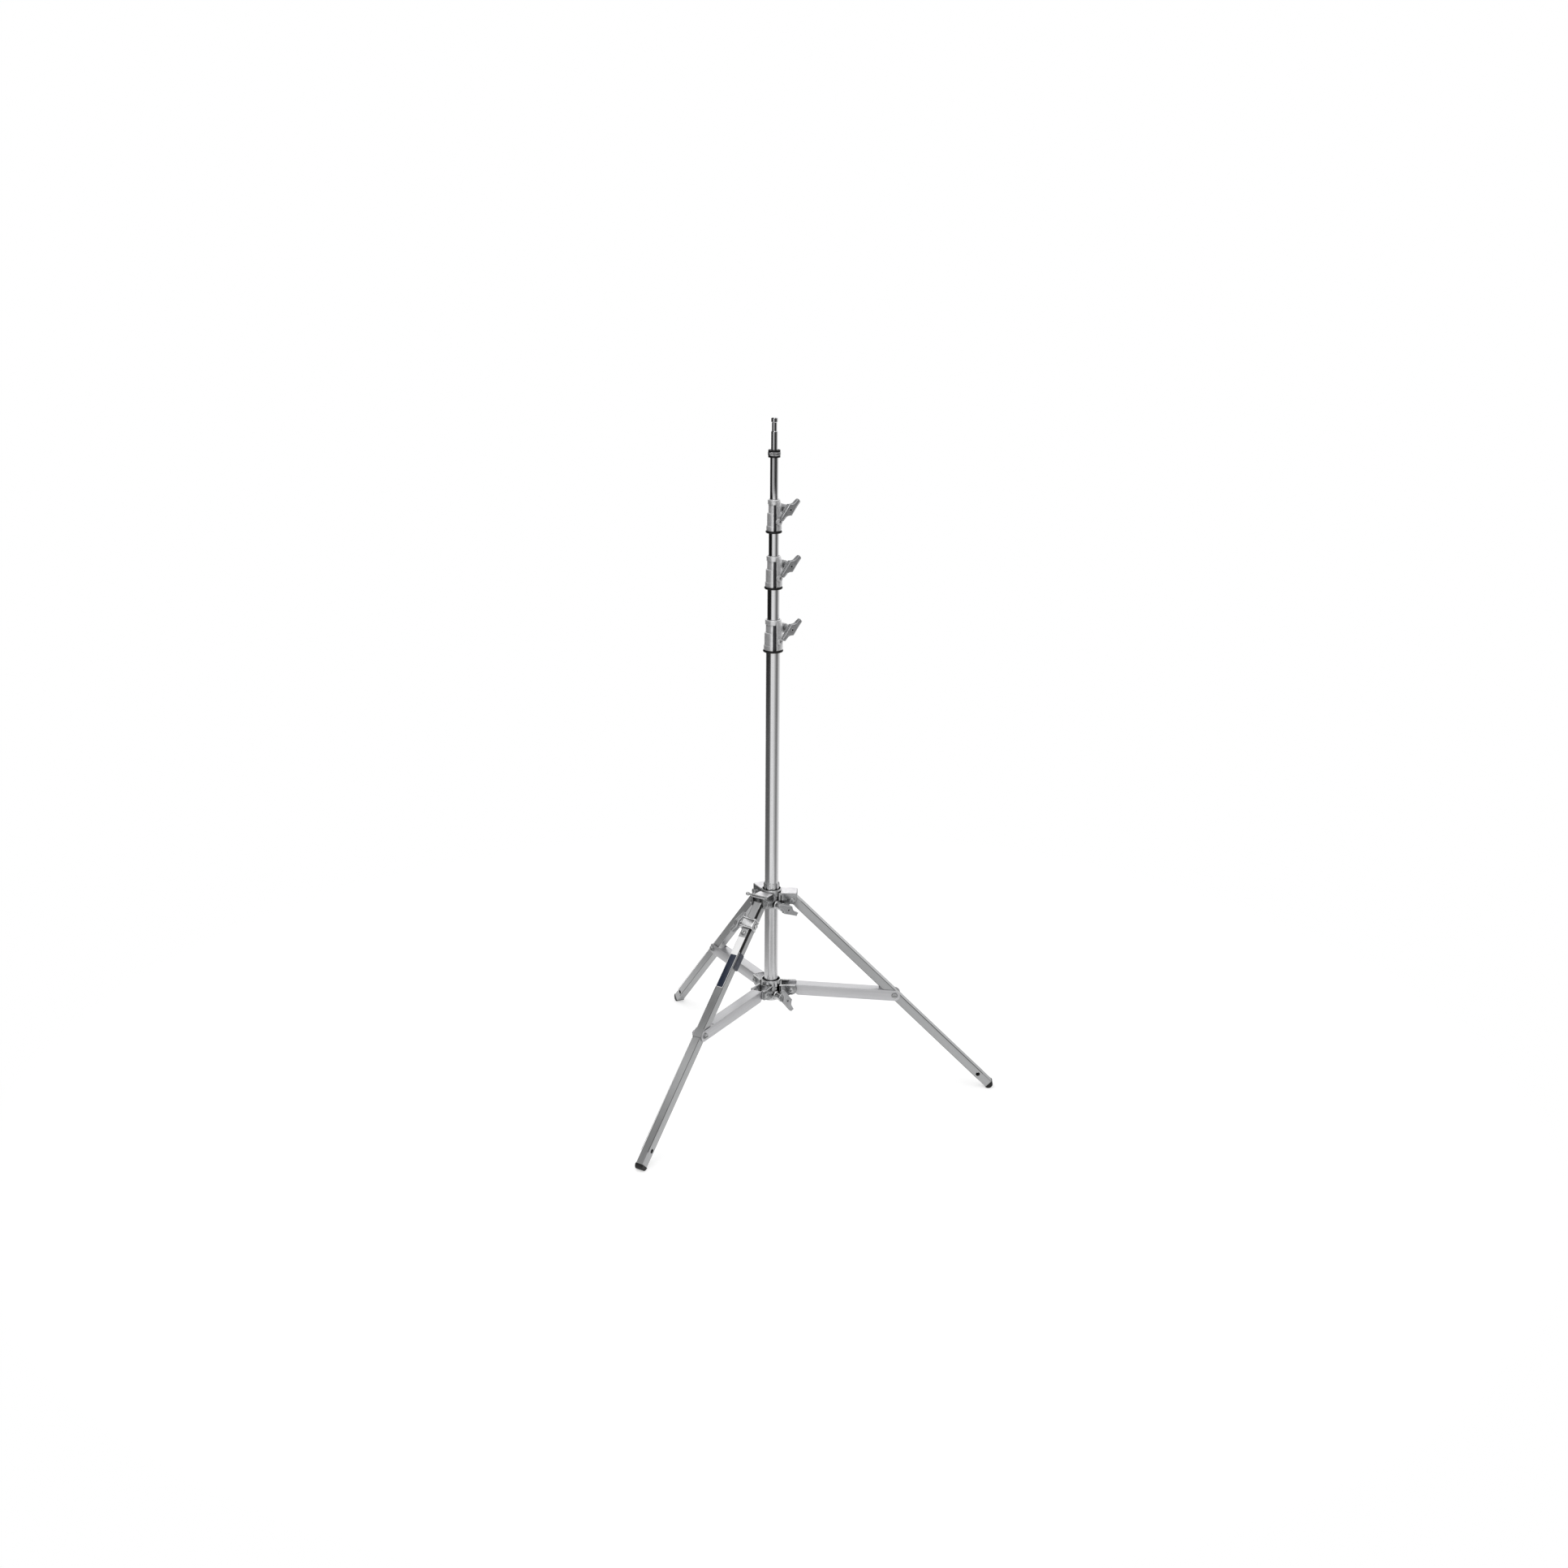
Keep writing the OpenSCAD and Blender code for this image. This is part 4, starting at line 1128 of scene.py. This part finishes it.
class STAND_OT_handles(bpy.types.Operator):
    """Six clamp handles on their screws"""

    bl_idname = "stand.handles"
    bl_label = "Clamp handles"

    def execute(self, context):
        level_away = leg_direction("f").cross(joint_axis("level_clamp_turn"))
        # Piece, joint, node, a direction square to the screw, and the turn from it in degrees
        table = [
            (f"lock_{n}_lever", f"lock_{n}_turn", f"lock_{n}_handle",
             UP.cross(joint_axis(f"lock_{n}_turn")), 39) for n in LOCKS
        ]
        table += [
            ("upper_hub_lever", "upper_clamp_turn", "upper_hub_handle", -UP, 57),
            ("lower_hub_lever", "lower_clamp_turn", "lower_hub_handle", -UP, 26),
            ("level_lever", "level_clamp_turn", "level_handle", level_away, 109),
        ]
        given = context.scene.stand_sizes
        sizes = HandleSizes(*(getattr(given, f"handle_{key}") / MM for key in HandleSizes._fields))
        for row in table:
            make_handle(*row, sizes)
        return {"FINISHED"}


class STAND_OT_finishes(bpy.types.Operator):
    """Finishes of the frame's own pieces"""

    bl_idname = "stand.finishes"
    bl_label = "Finishes"

    def execute(self, context):
        make_finishes(context.scene.stand_finishes)
        looks = {
            "chrome": ["column_tube"],
            "riser": [f"riser_{n}_tube" for n in LOCKS],
            "spigot": ["spigot", "spigot_collar"],
            "guide": ["level_guide"],
            "hub": ["upper_hub", "lower_hub", "level_clamp"],
            "casting": [f"lock_{n}_casting" for n in LOCKS],
            "rubber": ["spigot_rings"] + [f"lock_{n}_bumper" for n in LOCKS],
            "plastic": ["column_end_plug"] + [f"leg_{leg}_foot" for leg in LEGS],
            "nylon": ["leg_spacers"],
            "zinc": ["upper_hub_bolts", "lower_hub_rivets", "upper_hub_screw",
                     "lower_hub_screw", "level_screw"],
            "white_film": ["leg_f_label"],
        }
        for n in LOCKS:
            looks["nylon"] += [f"lock_{n}_guide", f"riser_{n}_bush"]
            looks["zinc"] += [f"lock_{n}_nut", f"lock_{n}_screw"]
        for leg in LEGS:
            looks["zinc"].append(f"brace_{leg}_bolt")
            looks[f"leg_{leg}"] = [f"leg_{leg}_tube"]
            looks[f"brace_{leg}"] = [f"brace_{leg}"]
        looks["leg_f"] += ["level_channel", "level_saddle"]
        for finish, names in looks.items():
            for name in names:
                materials = frame["nodes"][name].data.materials
                materials.clear()
                materials.append(FINISH[finish])
        return {"FINISHED"}


# Studio: a floor that fades to white, a soft box above and cards that the chrome reflects

CAMERA_BEARING = -87.3
CAMERA_DISTANCE = 4.870
CAMERA_HEIGHT = 2.420
CAMERA_PAN = 0.35
CAMERA_TILT = 18.14
CAMERA_ROLL = -0.48
PICTURE_SIDE = 1932
FOCAL_PIXELS = 2508
SENSOR = 36.0

# How much of its shade a card has at each bearing from the camera, in degrees
LEFT = [(-150, 0.0), (-138, 1.0), (-48, 1.0), (-38, 0.8), (-30, 0.36), (-22, 0.1), (-14, 0.0)]
RIGHT = [(0, 0.0), (17, 0.31), (29, 0.51), (41, 0.72), (54, 0.92), (67, 1.0), (78, 0.88),
         (89, 0.7), (110, 0.38), (130, 0.18), (150, 0.0)]
TOP = [(-150, 0.0), (-138, 1.0), (-70, 1.0), (-56, 0.92), (-35, 0.3), (-20, 0.5), (-8, 0.8),
       (12, 0.86), (35, 1.0), (62, 1.0), (89, 0.7), (120, 0.35), (150, 0.0)]
FRONT = [(-26, 0.0), (-12, 1.0), (30, 1.0), (44, 0.0)]

# Distance from the column in metres, bearings, and the brightness of full shade at each height
CARDS = {
    "dark_card_high": (0.35, LEFT, [(0.9, 0.07), (1.0, 0.04), (1.2, 0.012), (1.5, 0.006)]),
    "dark_card_mid": (0.5, LEFT, [(0.5, 0.12), (0.66, 0.1), (0.87, 0.08)]),
    "dark_card_low": (0.75, LEFT, [
        (0.0, 0.42), (0.06, 0.38), (0.14, 0.28), (0.36, 0.14), (0.46, 0.14), (0.52, 0.62),
        (0.8, 0.66)]),
    "grey_card_high": (0.35, RIGHT, [
        (0.9, 0.15), (1.0, 0.14), (1.2, 0.1), (1.4, 0.05), (1.5, 0.02)]),
    "grey_card_mid": (0.5, RIGHT, [(0.5, 0.22), (0.87, 0.16)]),
    "grey_card_low": (0.75, RIGHT, [(0.0, 0.4), (0.2, 0.3), (0.36, 0.24), (0.46, 0.22)]),
    "top_card": (0.35, TOP, [(1.5, 0.02), (1.7, 0.01), (1.78, 0.02)]),
    "dark_card_raised": (0.35, LEFT, [(1.78, 0.02), (4.2, 0.05)]),
    "grey_card_raised": (0.35, RIGHT, [(1.78, 0.06), (4.2, 0.15)]),
    "front_card": (0.74, FRONT, [(0.0, 0.42), (0.16, 0.45), (0.24, 0.6), (0.34, 1.0)]),
}


def around(bearing):
    """Horizontal unit vector at an angle from the camera's side of the stand."""
    return heading(CAMERA_BEARING + bearing)


def make_camera():
    """Camera that was fitted to the photograph."""
    data = bpy.data.cameras.new("camera")
    data.sensor_width = SENSOR
    data.lens = FOCAL_PIXELS / PICTURE_SIDE * SENSOR
    camera = add_object("camera", data)
    place = around(0) * CAMERA_DISTANCE + UP * CAMERA_HEIGHT
    facing = spun(Matrix.Translation(place), "Z", CAMERA_BEARING + 90 - CAMERA_PAN)
    camera.matrix_world = spun(spun(facing, "X", 90 - CAMERA_TILT), "Z", -CAMERA_ROLL)
    bpy.context.scene.camera = camera


def blank_tree(holder):
    """Empty node tree of a material or a world."""
    holder.use_nodes = True
    holder.node_tree.nodes.clear()
    return holder.node_tree


def seen_ray(tree, mirrored_share=1.0):
    """One for rays from the camera and less for those in reflections, none for others."""
    rays = node(tree, "ShaderNodeLightPath").outputs
    mirrored = times(tree, rays["Is Glossy Ray"], mirrored_share)
    return math_node(tree, "MAXIMUM", rays["Is Camera Ray"], mirrored)


def make_world(fill):
    """White surroundings that light matt surfaces a little less than they show."""
    world = bpy.data.worlds.new("studio")
    bpy.context.scene.world = world
    tree = blank_tree(world)
    light, white = (
        node(tree, "ShaderNodeBackground", {"Color": (1, 1, 1, 1), "Strength": strength})
        for strength in (fill, 1.0))
    mixed = node(tree, "ShaderNodeMixShader", {
        0: seen_ray(tree), 1: light.outputs[0], 2: white.outputs[0]})
    node(tree, "ShaderNodeOutputWorld", {"Surface": mixed.outputs[0]})


def make_floor():
    """Pale floor that keeps a soft shadow near the stand and is plain white further out."""
    radius, drop = 40.0, 0.0005
    shadow_to, white_from = 0.9, 2.0
    material = bpy.data.materials.new("pale_floor")
    tree = blank_tree(material)

    def surface(grey, strength):
        """Matt grey that glows a little for some rays."""
        matt = node(tree, "ShaderNodeBsdfDiffuse", {"Color": (grey, grey, grey, 1)})
        glow = node(tree, "ShaderNodeEmission", {"Strength": strength})
        return node(tree, "ShaderNodeAddShader", {
            0: matt.outputs[0], 1: glow.outputs[0]}).outputs[0]

    near = surface(0.6, times(tree, seen_ray(tree, 0.4), 0.5))
    far = surface(0.0, seen_ray(tree, 0.75))
    distance = vector_node(tree, "LENGTH", {0: object_place(tree)})["Value"]
    blend = remap(tree, distance, shadow_to, white_from)
    mixed = node(tree, "ShaderNodeMixShader", {0: blend, 1: near, 2: far})
    node(tree, "ShaderNodeOutputMaterial", {"Surface": mixed.outputs[0]})
    bm = bmesh.new()
    bmesh.ops.create_circle(bm, cap_ends=True, segments=96, radius=radius)
    floor = add_object("floor", mesh_from("floor", bm, [material]))
    floor.location.z = -drop


def ramp(points, at):
    """Value at a place in a list of (place, value) pairs, straight between them."""
    if at <= points[0][0]:
        return points[0][1]
    for (x0, y0), (x1, y1) in zip(points, points[1:]):
        if at <= x1:
            return y0 + (y1 - y0) * (at - x0) / (x1 - x0)
    return points[-1][1]


def make_card(name, radius, sides, heights):
    """Upright curved card that only reflections see, shaded by its bearings and heights."""
    low, high = heights[0][0], heights[-1][0]
    start, end = sides[0][0], sides[-1][0]
    columns, rows = 60, 40
    bm = bmesh.new()
    shade_layer = bm.verts.layers.float.new("shade")
    grid = []
    for k in range(columns + 1):
        bearing = start + (end - start) * k / columns
        line = []
        for j in range(rows + 1):
            z = low + (high - low) * (j / rows) ** 2
            vert = bm.verts.new(around(bearing) * radius + UP * z)
            vert[shade_layer] = 1 - ramp(sides, bearing) * (1 - ramp(heights, z))
            line.append(vert)
        grid.append(line)
    for before, after in zip(grid, grid[1:]):
        for j in range(rows):
            bm.faces.new((before[j], after[j], after[j + 1], before[j + 1]))
    material = bpy.data.materials.new(name)
    tree = blank_tree(material)
    value = node(tree, "ShaderNodeAttribute", attribute_name="shade").outputs["Fac"]
    glow = node(tree, "ShaderNodeEmission", {"Strength": value})
    node(tree, "ShaderNodeOutputMaterial", {"Surface": glow.outputs[0]})
    card = add_object(name, mesh_from(name, bm, [material]))
    card.visible_camera = card.visible_diffuse = card.visible_shadow = False


def make_soft_box(power):
    """Square lamp above the stand, to the left of the camera."""
    side, bearing, out, height, aim_height = 2.6, -25, 1.2, 3.6, 0.8
    data = bpy.data.lights.new("soft_box", "AREA")
    data.shape = "SQUARE"
    data.size = side
    data.energy = power
    lamp = add_object("soft_box", data)
    lamp.location = around(bearing) * out + UP * height
    aim = UP * aim_height - lamp.location
    lamp.rotation_euler = aim.to_track_quat("-Z", "Y").to_euler()
    lamp.visible_camera = False


class STAND_OT_stage(bpy.types.Operator):
    """Floor, soft light, reflection cards and camera"""

    bl_idname = "stand.stage"
    bl_label = "Stage"

    def execute(self, context):
        settings = context.scene.stand_stage
        context.scene.view_settings.view_transform = "Standard"
        make_world(settings.fill)
        make_floor()
        for name, values in CARDS.items():
            make_card(name, *values)
        make_soft_box(settings.key)
        make_camera()
        return {"FINISHED"}


SETTINGS = {
    "stand_sizes": StandSizes, "stand_finishes": StandFinishes, "stand_stage": StageSettings,
}


class STAND_PT_panel(bpy.types.Panel):
    """Pieces, finishes and stage of the lighting stand"""

    bl_idname = "STAND_PT_panel"
    bl_label = "Lighting Stand"
    bl_space_type = "VIEW_3D"
    bl_region_type = "UI"
    bl_category = "Stand"

    def draw(self, context):
        for group in SETTINGS:
            holder = getattr(context.scene, group)
            for key in holder.bl_rna.properties.keys():
                if key not in ("rna_type", "name"):
                    self.layout.prop(holder, key)
        for operator in OPERATORS:
            self.layout.operator(operator.bl_idname)


OPERATORS = (
    STAND_OT_finishes, STAND_OT_handles, STAND_OT_locks, STAND_OT_hubs, STAND_OT_legs,
    STAND_OT_spigot, STAND_OT_stage,
)
CLASSES = (*SETTINGS.values(), *OPERATORS, STAND_PT_panel)


def register():
    """Adds the classes and their settings."""
    for cls in CLASSES:
        bpy.utils.register_class(cls)
    for name, group in SETTINGS.items():
        setattr(bpy.types.Scene, name, PointerProperty(type=group))


def unregister():
    """Takes the settings and the classes away again."""
    for name in SETTINGS:
        delattr(bpy.types.Scene, name)
    for cls in reversed(CLASSES):
        bpy.utils.unregister_class(cls)


def main():
    """Builds everything in order."""
    register()
    bpy.ops.stand.finishes()
    bpy.ops.stand.handles()
    bpy.ops.stand.locks()
    bpy.ops.stand.hubs()
    bpy.ops.stand.legs()
    bpy.ops.stand.spigot()
    bpy.ops.stand.stage()


if __name__ == "__main__":
    main()
